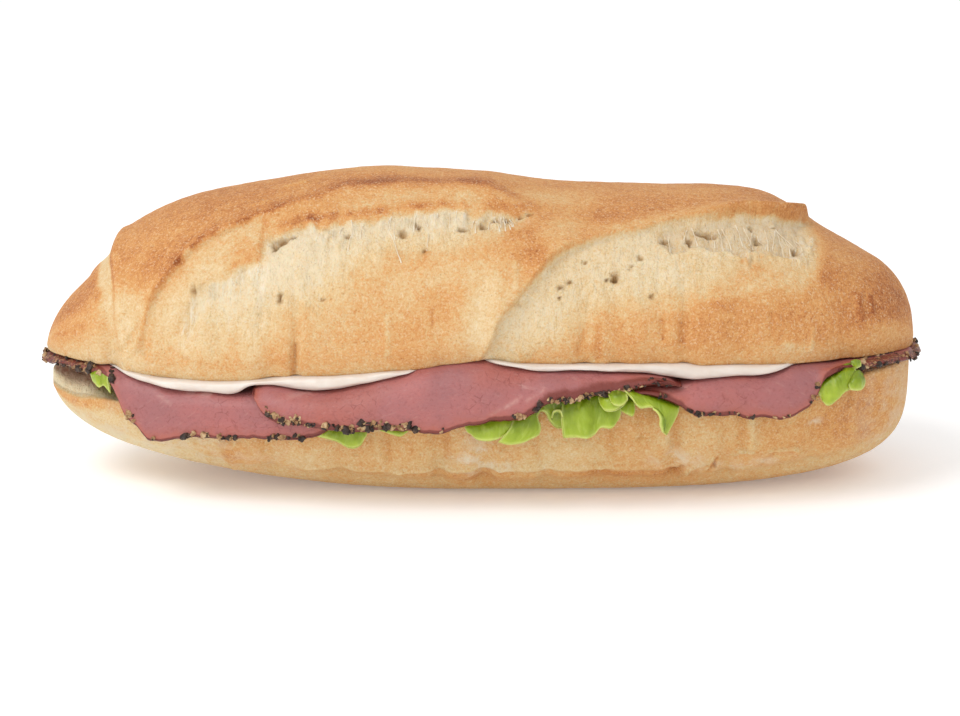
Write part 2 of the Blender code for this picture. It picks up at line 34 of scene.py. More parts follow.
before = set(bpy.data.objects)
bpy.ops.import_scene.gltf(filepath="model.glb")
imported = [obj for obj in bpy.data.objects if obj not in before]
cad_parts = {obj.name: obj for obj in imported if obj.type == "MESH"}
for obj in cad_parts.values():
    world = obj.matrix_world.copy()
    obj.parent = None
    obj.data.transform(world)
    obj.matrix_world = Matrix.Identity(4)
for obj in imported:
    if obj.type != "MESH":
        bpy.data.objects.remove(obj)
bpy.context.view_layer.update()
lowCorner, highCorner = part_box("bread_base")
loafShift = np.array([(lowCorner.x + highCorner.x) / 2, (lowCorner.y + highCorner.y) / 2, 0.0]) / mm


# Curves and noise

def smoothLine(points, x):
    # A smooth line through (place, value) points that never overshoots
    points = np.array(points, float)
    xs, values = points[:, 0], points[:, 1]
    slopes = np.diff(values) / np.diff(xs)
    tangents = np.concatenate([slopes[:1], (slopes[:-1] + slopes[1:]) / 2, slopes[-1:]])
    for i in range(1, len(tangents) - 1):
        before, after = slopes[i - 1], slopes[i]
        limit = 3 * min(abs(before), abs(after)) if before * after > 0 else 0
        tangents[i] = np.clip(tangents[i], -limit, limit)
    x = np.clip(x, xs[0], xs[-1])
    i = np.clip(np.searchsorted(xs, x) - 1, 0, len(xs) - 2)
    width = xs[i + 1] - xs[i]
    t = (x - xs[i]) / width
    return ((2 * t**3 - 3 * t**2 + 1) * values[i] + (t**3 - 2 * t**2 + t) * width * tangents[i]
            + (3 * t**2 - 2 * t**3) * values[i + 1] + (t**3 - t**2) * width * tangents[i + 1])


def fade(low, high, x):
    t = np.clip((x - low) / (high - low), 0, 1)
    return t * t * (3 - 2 * t)


def bump(x, middle, width):
    return np.exp(-(((x - middle) / width) ** 2))


def cornerValue(i, j, k, seed):
    n = i * 374761393 + j * 668265263 + k * 2147483629 + seed * 974634777
    n = (n ^ (n >> 13)) * 1274126177
    n = n ^ (n >> 16)
    return (n & 0xFFFF) / 32767.5 - 1


def softNoise(a, b, c, seed):
    # Smooth random values from -1 to 1, one unit of a, b and c from lump to lump
    a, b, c = np.broadcast_arrays(np.asarray(a, float), np.asarray(b, float), np.asarray(c, float))
    i, j, k = (np.floor(v).astype(np.int64) for v in (a, b, c))
    s, t, u = ((v - w) ** 2 * (3 - 2 * (v - w)) for v, w in ((a, i), (b, j), (c, k)))
    total = 0
    for di in (0, 1):
        for dj in (0, 1):
            for dk in (0, 1):
                weight = (s if di else 1 - s) * (t if dj else 1 - t) * (u if dk else 1 - u)
                total = total + weight * cornerValue(i + di, j + dj, k + dk, seed)
    return total


def roughNoise(a, b, c, seed, octaves=3):
    total, size = 0, 1.0
    for octave in range(octaves):
        total = total + size * softNoise(a * 2**octave, b * 2**octave, c * 2**octave, seed + octave)
        size *= 0.5
    return total / 1.6


# The loaf's outline, as the CAD has it

loaf = {
    "reach": 99.6, "halfDepth": 36.0, "baseReach": 98.6, "baseHalfDepth": 35.0, "topPlan": ((2.5, 2.0), (3.2, 2.3)),
    "topRise": ((3.0, 1.6), (3.4, 2.2)), "basePlan": ((2.4, 2.0), (3.4, 2.6)), "baseDrop": ((2.0, 2.0), (3.0, 4.5)),
    "sectionPower": 2.25, "tuckHeight": 6.0, "tuckAngle": 0.3, "basePower": 2.6, "baseCutOff": 2.6,
    "girthPerDegree": 0.55,
    "crown": [(-100, 39.0), (-92, 36.8), (-87.5, 37.8), (-83, 42.6), (-78, 42.6), (-69, 42.0), (-55, 40.0),
        (-40, 39.5), (-25, 39.5), (-10, 38.0), (5, 35.9), (20, 34.4), (40, 34.2), (55, 35.3), (65, 36.2), (74, 34.6),
        (79, 33.6), (88, 32.7), (93, 34.0), (100, 36.0)],
    "topRimFront": [(-100, 29.2), (-93, 29.6), (-86, 29.6), (-74, 28.6), (-62, 29.2), (-42, 30.3), (-14, 32.0),
        (-3, 33.7), (2, 34.3), (9, 33.4), (28, 33.2), (50, 33.0), (62, 32.1), (74, 32.0), (90, 31.9), (100, 31.0)],
    "topRimBack": [(-100, 29.2), (-60, 30.4), (0, 31.4), (60, 31.8), (100, 30.8)],
    "baseRimFront": [(-100, 22.5), (-85, 21.2), (-60, 22.3), (-30, 23.2), (0, 24.0), (30, 24.5), (60, 25.0),
        (88, 26.5), (100, 27.4)],
    "baseRimBack": [(-100, 22.5), (-60, 22.8), (0, 23.6), (60, 25.0), (100, 27.4)],
    "knobCrease": [(-17, -80.6), (-2, -80.9), (12, -81.7), (35, -82.3), (50, -83.2), (64, -84.0), (100, -83.6),
        (160, -83.0)],
    "topWrinkles": [(-69, 3.0, 0.5), (-57, 4.0, 0.4), (-46, 2.6, 0.7), (-40, 1.2, 0.8), (-8, 2.5, 0.4),
        (23, 2.2, 0.7), (30, 2.4, 0.6), (39, 2.5, 0.5), (45, 1.8, 0.7), (57, 3.0, 0.5), (81, 3.0, 0.5)],
    "baseWrinkles": [(-66, 3.0, 0.8), (-47, 2.2, 0.8), (-31, 2.6, 0.7), (-9, 1.8, 1.1), (1, 2.0, 1.0), (15, 2.0, 0.7),
        (27, 2.6, 0.6), (43, 1.6, 0.9), (55, 2.0, 0.8), (75, 2.4, 0.7), (88, 2.6, 0.8)],
}


def taper(x, reach, powers):
    share = np.clip(np.abs(x) / reach, 0, 1)
    n = np.where(x < 0, powers[0][0], powers[1][0])
    m = np.where(x < 0, powers[0][1], powers[1][1])
    return np.maximum(1 - share**n, 0) ** (1 / m)


def topHalfDepth(x):
    return loaf["halfDepth"] * taper(x, loaf["reach"], loaf["topPlan"])


def baseHalfDepth(x, outside=0.0):
    return (loaf["baseHalfDepth"] + outside) * taper(x, loaf["baseReach"] + outside, loaf["basePlan"])


def betweenRims(front, back, x, y, halfDepth):
    share = np.clip((y / np.maximum(halfDepth, 1e-3) + 1) / 2, 0, 1)
    return (1 - share) * smoothLine(front, x) + share * smoothLine(back, x)


def topCut(x, y):
    return betweenRims(loaf["topRimFront"], loaf["topRimBack"], x, y, topHalfDepth(x))


def baseCut(x, y):
    return betweenRims(loaf["baseRimFront"], loaf["baseRimBack"], x, y, baseHalfDepth(x))


def uneven(x, angle):
    return 0.35 * (np.sin(x / 13 + 2.1 * angle) * np.cos(x / 29 - 1.3 * angle + 0.7)
                   + 0.8 * np.sin(x / 7.5 - 3.0 * angle + 1.9) * np.cos(2.3 * angle))


def wrinkles(folds, x):
    total = 0
    for place, width, depth in folds:
        total = total - depth * bump(x, place, width)
    return total


def topSection(x, angle):
    half = topHalfDepth(x)
    height = smoothLine(loaf["crown"], x) * taper(x, loaf["reach"], loaf["topRise"])
    cosine, sine = np.cos(angle), np.sin(angle)
    y = -half * np.sign(cosine) * np.abs(cosine) ** (2 / loaf["sectionPower"])
    tuck = loaf["tuckHeight"] * np.minimum(1, height / 20)
    arch = tuck + (height - tuck) * np.abs(sine) ** (2 / loaf["sectionPower"])
    under = tuck * (1 + sine / math.sin(loaf["tuckAngle"]))
    return np.stack([x, y, topCut(x, y) + np.where(sine >= 0, arch, under)], axis=-1)


def baseSection(x, angle):
    half = baseHalfDepth(x)
    cosine, sine = np.cos(angle), np.sin(angle)
    y = -half * np.sign(cosine) * np.abs(cosine) ** (2 / loaf["basePower"])
    rim = baseCut(x, y)
    depth = (rim + loaf["baseCutOff"]) * taper(x, loaf["baseReach"], loaf["baseDrop"])
    return np.stack([x, y, rim - depth * np.abs(sine) ** (2 / loaf["basePower"])], axis=-1)


def gridNormals(grid):
    across = np.cross(np.gradient(grid, axis=1), np.gradient(grid, axis=0))
    return across / np.maximum(np.linalg.norm(across, axis=2, keepdims=True), 1e-9)


def stations(reach, count):
    # Places along the loaf, closer together towards its two ends
    share = np.linspace(-1, 1, count + 2)[1:-1]
    return reach * (0.6 * np.sin(share * math.pi / 2) + 0.4 * share)


# Mesh making

def inScene(name, data):
    obj = bpy.data.objects.new(name, data)
    bpy.context.scene.collection.objects.link(obj)
    return obj


def makeMesh(name, points, faces, material, numbers=None):
    # points are in loaf millimetres; numbers are point attributes that the materials read
    mesh = bpy.data.meshes.new(name)
    points = (np.asarray(points, float) + loafShift) * mm
    mesh.vertices.add(len(points))
    mesh.vertices.foreach_set("co", points.ravel().astype(np.float32))
    sizes = np.array([len(face) for face in faces], np.int32)
    corners = np.concatenate([np.asarray(face, np.int32) for face in faces])
    mesh.loops.add(len(corners))
    mesh.loops.foreach_set("vertex_index", corners)
    mesh.polygons.add(len(sizes))
    mesh.polygons.foreach_set("loop_start", np.concatenate([[0], np.cumsum(sizes)[:-1]]).astype(np.int32))
    mesh.update(calc_edges=True)
    mesh.validate()
    mesh.shade_smooth()
    for key, values in (numbers or {}).items():
        values = np.asarray(values, np.float32)
        kind = "FLOAT_VECTOR" if values.ndim == 2 else "FLOAT"
        layer = mesh.attributes.new(key, kind, "POINT")
        layer.data.foreach_set("vector" if values.ndim == 2 else "value", values.ravel())
    mesh.materials.append(material)
    return inScene(name, mesh)


def barePoints(name, points, edges=()):
    # Points in loaf millimetres that a node tree grows into something
    mesh = bpy.data.meshes.new(name)
    mesh.from_pydata([tuple(point) for point in (np.array(points) + loafShift) * mm], edges, [])
    return mesh


def ringFaces(count, size):
    # Quads of closed rings one after another, then a fan to a point at each end
    i = np.arange(count - 1)[:, None] * size
    j = np.arange(size)[None, :]
    k = (j + 1) % size
    quads = np.stack([i + j, i + k, i + size + k, i + size + j], axis=-1).reshape(-1, 4)
    j, k = j[0], k[0]
    last = (count - 1) * size
    first = np.stack([np.full(size, count * size), k, j], axis=-1)
    final = np.stack([np.full(size, count * size + 1), last + j, last + k], axis=-1)
    return [*map(tuple, quads), *map(tuple, first), *map(tuple, final)]


def withTips(values, first, last):
    return np.concatenate([np.asarray(values).reshape(-1), [first, last]])


def grownBy(obj, tree, values):
    # Runs a node tree on an object and keeps the plain mesh that it makes
    modifier = obj.modifiers.new("growing", "NODES")
    modifier.node_group = tree
    for item in tree.interface.items_tree:
        if item.in_out == "INPUT" and item.name in values:
            modifier[item.identifier] = values[item.name]
    mesh = bpy.data.meshes.new_from_object(obj.evaluated_get(bpy.context.evaluated_depsgraph_get()))
    obj.modifiers.clear()
    obj.data = mesh
    return obj


# Materials

def linear(red, green, blue, level=0.80):
    # A colour as it should look on screen, from 0 to 255, toned down for the bright studio light
    parts = [c / 255 for c in (red, green, blue)]
    return tuple(level * (c / 12.92 if c <= 0.04045 else ((c + 0.055) / 1.055) ** 2.4) for c in parts) + (1.0,)


class Nodes:
    # A small helper that adds and joins the nodes of a tree
    def add(self, kind, values=None, **settings):
        node = self.tree.nodes.new(kind)
        for key, value in settings.items():
            setattr(node, key, value)
        for key, value in (values or {}).items():
            self.put(node.inputs[key], value)
        return node

    def put(self, socket, value):
        if isinstance(value, bpy.types.NodeSocket):
            self.tree.links.new(value, socket)
        else:
            socket.default_value = value

    def math(self, operation, a, b=0.0, clamp=False):
        return self.add("ShaderNodeMath", {0: a, 1: b}, operation=operation, use_clamp=clamp).outputs[0]

    def times(self, a, b):
        return self.math("MULTIPLY", a, b)


class Growth(Nodes):
    # A geometry tree with named inputs
    def __init__(self, name, inputs):
        self.tree = bpy.data.node_groups.new(name, "GeometryNodeTree")
        for label, kind in (("Geometry", "Geometry"), *inputs):
            self.tree.interface.new_socket(label, in_out="INPUT", socket_type="NodeSocket" + kind)
        self.tree.interface.new_socket("Geometry", in_out="OUTPUT", socket_type="NodeSocketGeometry")
        self.given = self.add("NodeGroupInput").outputs

    def shaken(self, geometry, scale, amount):
        # Moves every point by noise
        noise = self.add("ShaderNodeTexNoise", {"Scale": scale}).outputs["Color"]
        centred = self.add("ShaderNodeVectorMath", {0: noise, 1: (0.5, 0.5, 0.5)}, operation="SUBTRACT").outputs[0]
        offset = self.add("ShaderNodeVectorMath", {0: centred, "Scale": amount}, operation="SCALE").outputs[0]
        return self.add("GeometryNodeSetPosition", {"Geometry": geometry, "Offset": offset}).outputs[0]

    def real(self, geometry):
        return self.add("GeometryNodeRealizeInstances", {"Geometry": geometry}).outputs[0]

    def done(self, geometry, material):
        painted = self.add("GeometryNodeSetMaterial", {"Geometry": geometry, "Material": material}).outputs[0]
        self.add("NodeGroupOutput", {"Geometry": painted})
        return self.tree


class Shader(Nodes):
    def __init__(self, name):
        self.material = bpy.data.materials.new(name)
        self.material.use_nodes = True
        self.tree = self.material.node_tree
        self.surface = self.tree.nodes["Principled BSDF"]
        self.coordinates = self.add("ShaderNodeTexCoord")

    def number(self, name):
        return self.add("ShaderNodeAttribute", attribute_name=name).outputs["Fac"]

    def vector(self, name):
        return self.add("ShaderNodeAttribute", attribute_name=name).outputs["Vector"]

    def noise(self, scale, detail=3.0, rough=0.55, vector=None, stretch=None):
        vector = vector or self.coordinates.outputs["Object"]
        if stretch:
            vector = self.add("ShaderNodeMapping", {"Vector": vector, "Scale": stretch}).outputs["Vector"]
        values = {"Vector": vector, "Scale": scale, "Detail": detail, "Roughness": rough}
        return self.add("ShaderNodeTexNoise", values).outputs["Fac"]

    def cells(self, scale, feature="F1"):
        values = {"Vector": self.coordinates.outputs["Object"], "Scale": scale}
        return self.add("ShaderNodeTexVoronoi", values, feature=feature).outputs["Distance"]

    def spread(self, value, low, high, toLow=0.0, toHigh=1.0):
        values = {"Value": value, "From Min": low, "From Max": high, "To Min": toLow, "To Max": toHigh}
        return self.add("ShaderNodeMapRange", values, interpolation_type="SMOOTHSTEP").outputs["Result"]

    def ramp(self, value, stops):
        node = self.add("ShaderNodeValToRGB", {"Fac": value})
        elements = node.color_ramp.elements
        while len(elements) < len(stops):
            elements.new(0.5)
        for element, (place, colour) in zip(elements, stops):
            element.position = place
            element.color = linear(*colour)
        return node.outputs["Color"]

    def mix(self, share, a, b, blend="MIX"):
        node = self.add("ShaderNodeMix", data_type="RGBA", blend_type=blend)
        for key, value in ((0, share), (6, a), (7, b)):
            self.put(node.inputs[key], value)
        return node.outputs[2]

    def over(self, share, colour, shade):
        # Lays a plain shade over a colour
        return self.mix(share, colour, linear(*shade))

    def raised(self, height, distance, strength=1.0, under=None):
        values = {"Height": height, "Distance": distance, "Strength": strength}
        if under is not None:
            values["Normal"] = under
        return self.add("ShaderNodeBump", values).outputs["Normal"]

    def finish(self, soft=None, **sockets):
        # soft is how much light passes under the surface, and how far its red, green and blue go in metres
        if soft:
            sockets.update(Subsurface_Weight=soft[0], Subsurface_Radius=soft[1], Subsurface_Scale=1.0)
        for key, value in sockets.items():
            self.put(self.surface.inputs[key.replace("_", " ")], value)
        return self.material


bake = {
    "pale": (250, 230, 193), "cream": (247, 218, 170), "straw": (239, 201, 146), "golden": (236, 178, 114),
    "amber": (227, 159, 94), "brown": (205, 132, 76), "dark": (162, 90, 46),
    # the pore colour is painted shade in tiny pores, the silk colour paints pale fibres with a highlight, and the shade
    # colour is painted shade in the torn crumb
    "speckle": (252, 224, 184), "shadedPore": (170, 112, 62), "paleFibreAndSheen": (254, 243, 222), "shade": (206, 176, 116),
    # the hollow colour is painted shade for pits, pockets and holes
    "flour": (248, 234, 210), "hollow": (190, 148, 82),
}


def breadMaterial(name, shadeTint=(255, 255, 255)):
    s = Shader(name)
    skin = s.vector("skin")
    torn = s.number("torn")
    notTorn = s.math("SUBTRACT", 1.0, torn)
    broad = s.noise(75, 4, 0.6)
    blotch = s.noise(260, 3, 0.6)
    grain = s.noise(760, 3, 0.6)
    fine = s.noise(2300, 3, 0.7)
    swirl = s.add("ShaderNodeTexNoise", {"Vector": skin, "Scale": 300, "Detail": 2}).outputs["Color"]
    wandering = s.add("ShaderNodeVectorMath", {0: swirl, 1: (0.0022, 0.0010, 0), 2: skin},
                      operation="MULTIPLY_ADD").outputs["Vector"]
    fibre = s.noise(1.0, 4, 0.62, wandering, (1150, 260, 1))
    hair = s.noise(1.0, 2, 0.5, wandering, (3000, 430, 1))
    level = s.number("baked")
    for pattern, amount in ((broad, 0.26), (blotch, 0.20), (grain, 0.42), (fine, 0.80)):
        level = s.math("ADD", level, s.times(s.math("SUBTRACT", pattern, 0.5), amount))
    fibreLevel = s.times(s.math("SUBTRACT", fibre, 0.5), s.times(torn, 0.34))
    level = s.math("ADD", level, fibreLevel, clamp=True)
    colour = s.ramp(level, [(0.0, bake["pale"]), (0.16, bake["cream"]), (0.32, bake["straw"]), (0.48, bake["golden"]),
                            (0.64, bake["amber"]), (0.80, bake["brown"]), (1.0, bake["dark"])])
    flecks = s.times(s.spread(s.noise(2000, 2, 0.6), 0.55, 0.66), s.times(notTorn, 0.46))
    colour = s.over(flecks, colour, bake["speckle"])
    # painted shade: small dark dots stand in for the shade inside tiny pores
    poreShade = s.times(s.spread(s.cells(900), 0.22, 0.08), s.spread(s.noise(230, 2), 0.48, 0.62))
    colour = s.over(s.times(poreShade, 0.38), colour, bake["shadedPore"])
    # pale fibres near the tears, with a painted highlight along them
    paleFibreAndSheen = s.times(s.number("paleFibreAndSheen"), s.spread(hair, 0.42, 0.62))
    colour = s.over(s.times(paleFibreAndSheen, 0.8), colour, bake["paleFibreAndSheen"])
    # painted shade: the shade colour darkens small dimples all over the torn crumb
    dimpleShade = s.spread(s.noise(1.0, 3, 0.6, wandering, (900, 420, 1)), 0.58, 0.76, 0, 0.40)
    colour = s.over(s.times(torn, dimpleShade), colour, bake["shade"])
    flour = s.times(s.number("flour"), s.spread(s.noise(260, 5, 0.7), 0.42, 0.60))
    colour = s.over(flour, colour, bake["flour"])
    # painted shade: the hollow numbers darken the colour in pits, along the pocket under a tear, in the second slash's
    # hollow and in the cut crumb's hollows
    colour = s.mix(s.number("hollow"), colour, linear(*bake["hollow"]), "MULTIPLY")
    # painted shade: the lower crust's copy of this material is toned down a touch for the shade it sits in
    colour = s.mix(1.0, colour, linear(*shadeTint, 1.0), "MULTIPLY")
    normal = s.raised(fine, 0.00034, 0.9)
    normal = s.raised(grain, 0.0006, 0.7, normal)
    normal = s.raised(fibre, s.times(torn, 0.0007), 0.8, normal)
    return s.finish(Base_Color=colour, Roughness=0.68, Specular_IOR_Level=0.22, Normal=normal,
                    soft=(0.10, (0.004, 0.002, 0.001)))


# Both halves of the roll are rings of crust and cut face, closed to a point at each end

def closeHalf(name, skin, cut, x, girth, ends, numbers, material):
    # ends are the loaf's reach, its cut's height and the tips' lift; numbers are for crust, cut and both tips
    reach, height, lift = ends
    rings = np.concatenate([skin, cut], axis=1)
    flat = np.zeros(cut.shape[:2])
    skinPlace = np.stack([x, girth, 0 * x], axis=-1) * mm
    cutPlace = np.stack([cut[..., 0], cut[..., 1] + 150, flat], axis=-1) * mm
    place = np.concatenate([np.concatenate([skinPlace, cutPlace], axis=1).reshape(-1, 3), np.zeros((2, 3))])
    tips = [np.array([end * reach, 0, float(height(np.array(end * reach), 0.0)) + lift]) for end in (-1, 1)]
    layers = {key: withTips(np.concatenate([crust + 0 * x, face + flat], axis=1), *atTips)
              for key, (crust, face, atTips) in numbers.items()}
    points = np.concatenate([rings.reshape(-1, 3), tips])
    return makeMesh(name, points, ringFaces(*rings.shape[:2]), material, {**layers, "skin": place})


# Top half of the roll

topLook = {
    "stations": 452, "frontRows": 170, "backRows": 34, "cutRows": 11, "lip": 0.8, "farLip": 1.1,
    "rimSag": [(-80, 0), (-74, 0.4), (-70, 0.9), (-65, 1.1), (-60, 1.45), (-56, 1.5), (-52, 1.3), (-48, 1.1),
        (-41, 0.55), (-33, 0.6), (-28, 0.4), (-20, 0.1), (44, 0.1), (49, 0.6), (53, 0.4), (60, 0)],
    # lines on the crust, as places along the loaf and degrees round it
    "firstEar": [(-80, -14), (-74.5, 8), (-73.2, 19.8), (-72.1, 26), (-70.6, 29.8), (-68.8, 34.7), (-66.5, 39.7),
        (-64.1, 45), (-61.4, 48.5), (-56.4, 53), (-51, 57), (-44.5, 61), (-38, 66), (-31, 70.5), (-24, 72.6),
        (-15, 73.4), (-6, 72.6), (0, 71.8), (4, 68.5), (8, 64), (12.3, 61.2), (16, 61)],
    "firstTear": [(-69.5, -4), (-67.6, 3.4), (-65.8, 12.5), (-63.6, 21.5), (-61.2, 27.4), (-55.9, 30), (-53, 32.1),
        (-50, 34.7), (-48.2, 38), (-47.2, 44), (-45.4, 47.8), (-40.9, 50), (-36.8, 52), (-34, 49.6), (-30.6, 52.2),
        (-27, 52), (-24, 52), (-21, 54), (-17.9, 55.5), (-13.3, 55.2), (-9.2, 56), (-6.4, 57), (-2.5, 54),
        (1.1, 53.2), (5.2, 55.5), (9.2, 58), (13, 61), (16, 61.8)],
    "firstLow": [(-74, -8), (-72, 3.5), (-66.5, 0.8), (-56.1, -1.1), (-50, 1), (-45.7, 5.1), (-40.6, 7.2),
        (-35.7, 7.5), (-30.6, 13), (-26, 22), (-21.9, 28.6), (-14.2, 28.7), (-8.6, 29.5), (-2.7, 30), (1.1, 36.4),
        (4.5, 40), (7, 44), (12.3, 53), (16, 60)],
    "secondEar": [(0, -17), (2, -8), (3.9, 2.8), (7, 11.1), (11.4, 21.7), (13.3, 26.5), (16.1, 33.4), (18.8, 38),
        (22.2, 41.5), (24.6, 44.4), (28.6, 47.6), (35.4, 51.5), (40.6, 56), (44.3, 59.3), (49, 61.5), (53, 64.4),
        (59.7, 69.7), (64, 72), (70, 78), (76, 92)],
    "webLow": [(37, 46), (39.7, 43.6), (42, 40.6), (44.8, 39.8), (46.5, 41.8), (48.4, 42.9), (52.2, 41), (54.1, 42.3),
        (56.4, 40.4), (58.2, 39), (59.7, 43), (63.4, 43.4), (66.2, 42), (68.1, 41.9), (71.2, 45.2), (73.6, 58),
        (76, 70)],
    "paleLow": [(1, -34), (7, -24), (13, -11), (20.7, 1), (26.1, 9), (32.7, 11), (38.9, 13), (46.5, 15), (49.8, 20.6),
        (54.1, 26.2), (58.9, 32.9), (63.6, 36), (70.1, 36.4), (76.7, 39.8), (82, 60)],
    "goldenLow": [(1, -26), (7, -16), (13, -7), (20.7, 1), (26, 5), (34.8, 7.8), (41, 11), (46.8, 13), (53.8, 17),
        (58.4, 19.6), (65.5, 22.5), (72.7, 27.4), (79, 44), (84, 66)],
    "strapLeft": [(-16, 0.0), (1, 1.1), (12, 2.7), (24.5, 3.9), (34.7, 6.1), (41, 8.9), (46.5, 13.3), (55.7, 16.1),
        (63, 18.2), (80, 20)],
    # small pits, also darkened with painted shade: place, degrees, half width, half height, depth
    "pits": [(-45.2, 42.2, 0.9, 1.7, 1.9), (-43.6, 44.6, 1.3, 0.9, 1.8), (-41.5, 46.3, 0.8, 0.6, 1.3),
        (-43.7, 17.4, 0.55, 1.3, 1.3), (-34.2, 16.6, 0.35, 0.35, 0.8), (-63.4, 25, 0.6, 1.4, 0.8),
        (3.9, 50.6, 0.9, 0.8, 1.5), (0.8, 45.8, 0.9, 1.1, 1.7), (-3.6, 44, 1.0, 0.5, 1.4), (6.4, 52.7, 0.5, 0.9, 1.1),
        (9.2, 56.2, 0.6, 0.45, 1.2), (11.1, 57.4, 0.6, 0.45, 1.1), (-16.7, 43.8, 0.8, 1.2, 1.2),
        (-13.6, 48, 0.5, 1.0, 1.1), (-12, 34.6, 0.4, 0.7, 0.9), (-28.9, 43.8, 0.7, 0.7, 0.8),
        (-13.4, 46.3, 0.4, 0.9, 0.9), (49.6, 54, 2.0, 1.0, 1.6), (51.4, 52.5, 1.4, 0.9, 1.2),
        (46.2, 47.8, 0.6, 1.6, 1.4), (40.9, 47, 1.1, 0.5, 1.2), (62.2, 52.3, 1.0, 1.7, 1.8),
        (60.5, 61, 0.7, 0.9, 1.2), (71, 48.9, 0.8, 1.5, 1.4), (66.5, 64.4, 1.1, 0.4, 0.9),
        (37.4, 16.6, 0.5, 0.6, 0.7), (33.2, 32.1, 0.4, 0.4, 0.6), (29.6, 25.9, 0.85, 1.4, 1.9),
        (27.7, 24.6, 0.3, 0.35, 0.9), (17.6, 20.2, 0.8, 0.6, 0.9), (19.5, 22.6, 0.7, 0.5, 0.8),
        (17.3, 15.3, 0.35, 0.35, 0.8), (35.1, 36.4, 0.7, 0.9, 0.6), (41, 48.6, 0.9, 0.6, 1.0),
        (23, 33, 0.4, 0.5, 0.5), (33, 30, 0.35, 0.4, 0.5)],
    # folds and scars: from place and degrees to place and degrees, half width, height, browning; the browning is darker
    # along every groove, partly painted shade
    "scars": [(-40.4, 1, -40.8, -16, 0.5, -1.0, 0.16), (-43.5, 78, -38.8, 80.2, 0.5, 0.5, -0.12),
        (-34.4, 48.6, -30.8, 38.6, 0.6, 0.8, 0.06), (-75.3, 11, -79.8, -6, 0.6, -0.35, 0.1),
        (-20, 8.3, -20.1, -6, 0.6, 0.35, -0.14), (-64.4, -4.3, -68.5, 1.5, 0.7, -0.3, 0.1),
        (39.7, 6.4, 40, -1, 0.6, -0.5, 0.12), (44, 4.7, 44, -3, 0.9, -0.4, 0.14),
        (73.2, 3.8, 72.7, -9, 0.5, 0.3, -0.18), (84.2, 28, 84.7, 8, 0.7, 0.35, 0.14),
        (87.1, 28, 87.4, 13, 0.5, 0.3, 0.16), (63.9, 10.6, 63.9, 3, 0.5, -0.3, 0.08),
        (25.8, 4, 25.8, -14, 0.8, -0.4, 0.14), (22.5, 1, 21.3, -11, 0.7, -0.3, 0.1),
        (7.7, 29, 7.7, 18, 0.5, 0.3, -0.16), (-10.5, 10, -10.2, 5, 0.4, -0.3, 0.16),
        (-66.5, 39, -65.9, 39.6, 0.6, 0.7, 0.36), (-66, 33, -60, 33.5, 0.6, 0.35, 0.1),
        (-60, 37.5, -49, 42.5, 0.8, 0.45, 0.14), (8.6, 11.8, 6.2, 11.5, 0.5, -0.5, 0.1),
        (67, -3, 68.2, -5, 0.9, 0.3, -0.22), (-50, 66, -47, 67, 0.5, 0.4, -0.1)],
    # browner and paler patches, and ragged orange blotches: place, degrees, half width, half height, amount; the
    # browner patches at the right end, 84 and 95 along, are partly painted shade
    "patches": [(-60, 80, 30, 30, 0.1), (-92, 34, 7, 34, 0.2), (-95, 4, 6, 12, 0.06), (-62, 62, 12, 14, 0.05),
        (2, 76, 12, 5, 0.08), (-18, 77, 16, 5, 0.16), (-17, 81, 5, 4, 0.12), (-8, 8, 9, 13, 0.16),
        (-24, 2, 10, 10, 0.06), (-26, 12, 7, 8, 0.04), (-44.5, -6, 4, 9, 0.14), (-62, -8, 10, 7, 0.06),
        (-23.5, 22, 4, 4, 0.1), (58, 6, 20, 13, 0.2), (54, 15, 5, 4, 0.1), (84, 14, 13, 22, 0.26),
        (30, -4, 8, 9, 0.08), (95, 20, 9, 44, 0.24), (-89, 5, 6, 14, -0.03), (-79, 8, 4.5, 26, -0.18),
        (18, 72, 9, 9, -0.18), (9, 74, 8, 6, -0.12), (38, 66, 14, 9, 0.02), (29, 60, 8, 5, 0.1),
        (20, 52, 6, 9, -0.16), (76, 62, 6, 20, -0.06), (76, 42, 6, 10, 0.1), (-70, 66, 20, 16, -0.06),
        (84, 60, 7, 26, -0.04), (60, 92, 26, 12, 0.06), (2, -6, 5, 14, -0.16), (11.2, 32, 4.5, 9, 0.3),
        (68, -7, 6, 5, -0.12), (90, -2, 8, 7, -0.06), (44, 90, 12, 14, -0.06), (-30, 96, 24, 14, -0.06),
        (-74, 34, 4, 14, 0.05), (2, 8, 6, 14, -0.2), (-3, 26, 8, 6, -0.12), (60, 26, 10, 8, -0.04),
        (-93, 12, 6, 8, 0.16), (94, 3, 6, 10, -0.18), (-13, -8, 10, 8, 0.09), (-33, -5, 10, 8, 0.05),
        (-14, 21, 7, 5, -0.08), (-19, 31, 5, 4, -0.08), (39, 17, 7, 5, -0.1), (74, 33, 5, 6, 0.12),
        (-65, 60, 8, 8, -0.07)],
    "blotches": [(-53, 42.3, 2.2, 3, 0.16), (-48.6, 37.6, 1.5, 2, 0.24), (-51.9, 46.3, 1.8, 2.5, 0.16),
        (-53.6, 35.7, 1.4, 2, 0.14), (-35.7, 54, 2.2, 2.4, 0.26), (-38.5, 56, 2.4, 2, 0.16),
        (-32.6, 57, 2.2, 3, 0.22), (-24, 56.5, 2.6, 2.2, 0.24), (-21.6, 55.6, 1.4, 1.6, 0.12), (-14, 59, 3, 2, 0.18),
        (-8, 60.5, 2.6, 2.2, 0.1), (2, 60, 3, 2.5, 0.12), (-20.8, 66, 4, 4, -0.06), (-4, 66, 5, 4, -0.08),
        (-12, 33, 0.9, 2, 0.16), (-17, 33, 0.8, 2, 0.14), (58.3, 38, 1.2, 3, 0.18), (47, 31, 1.6, 4, 0.08),
        (61, 33, 2.4, 3, 0.12)],
}


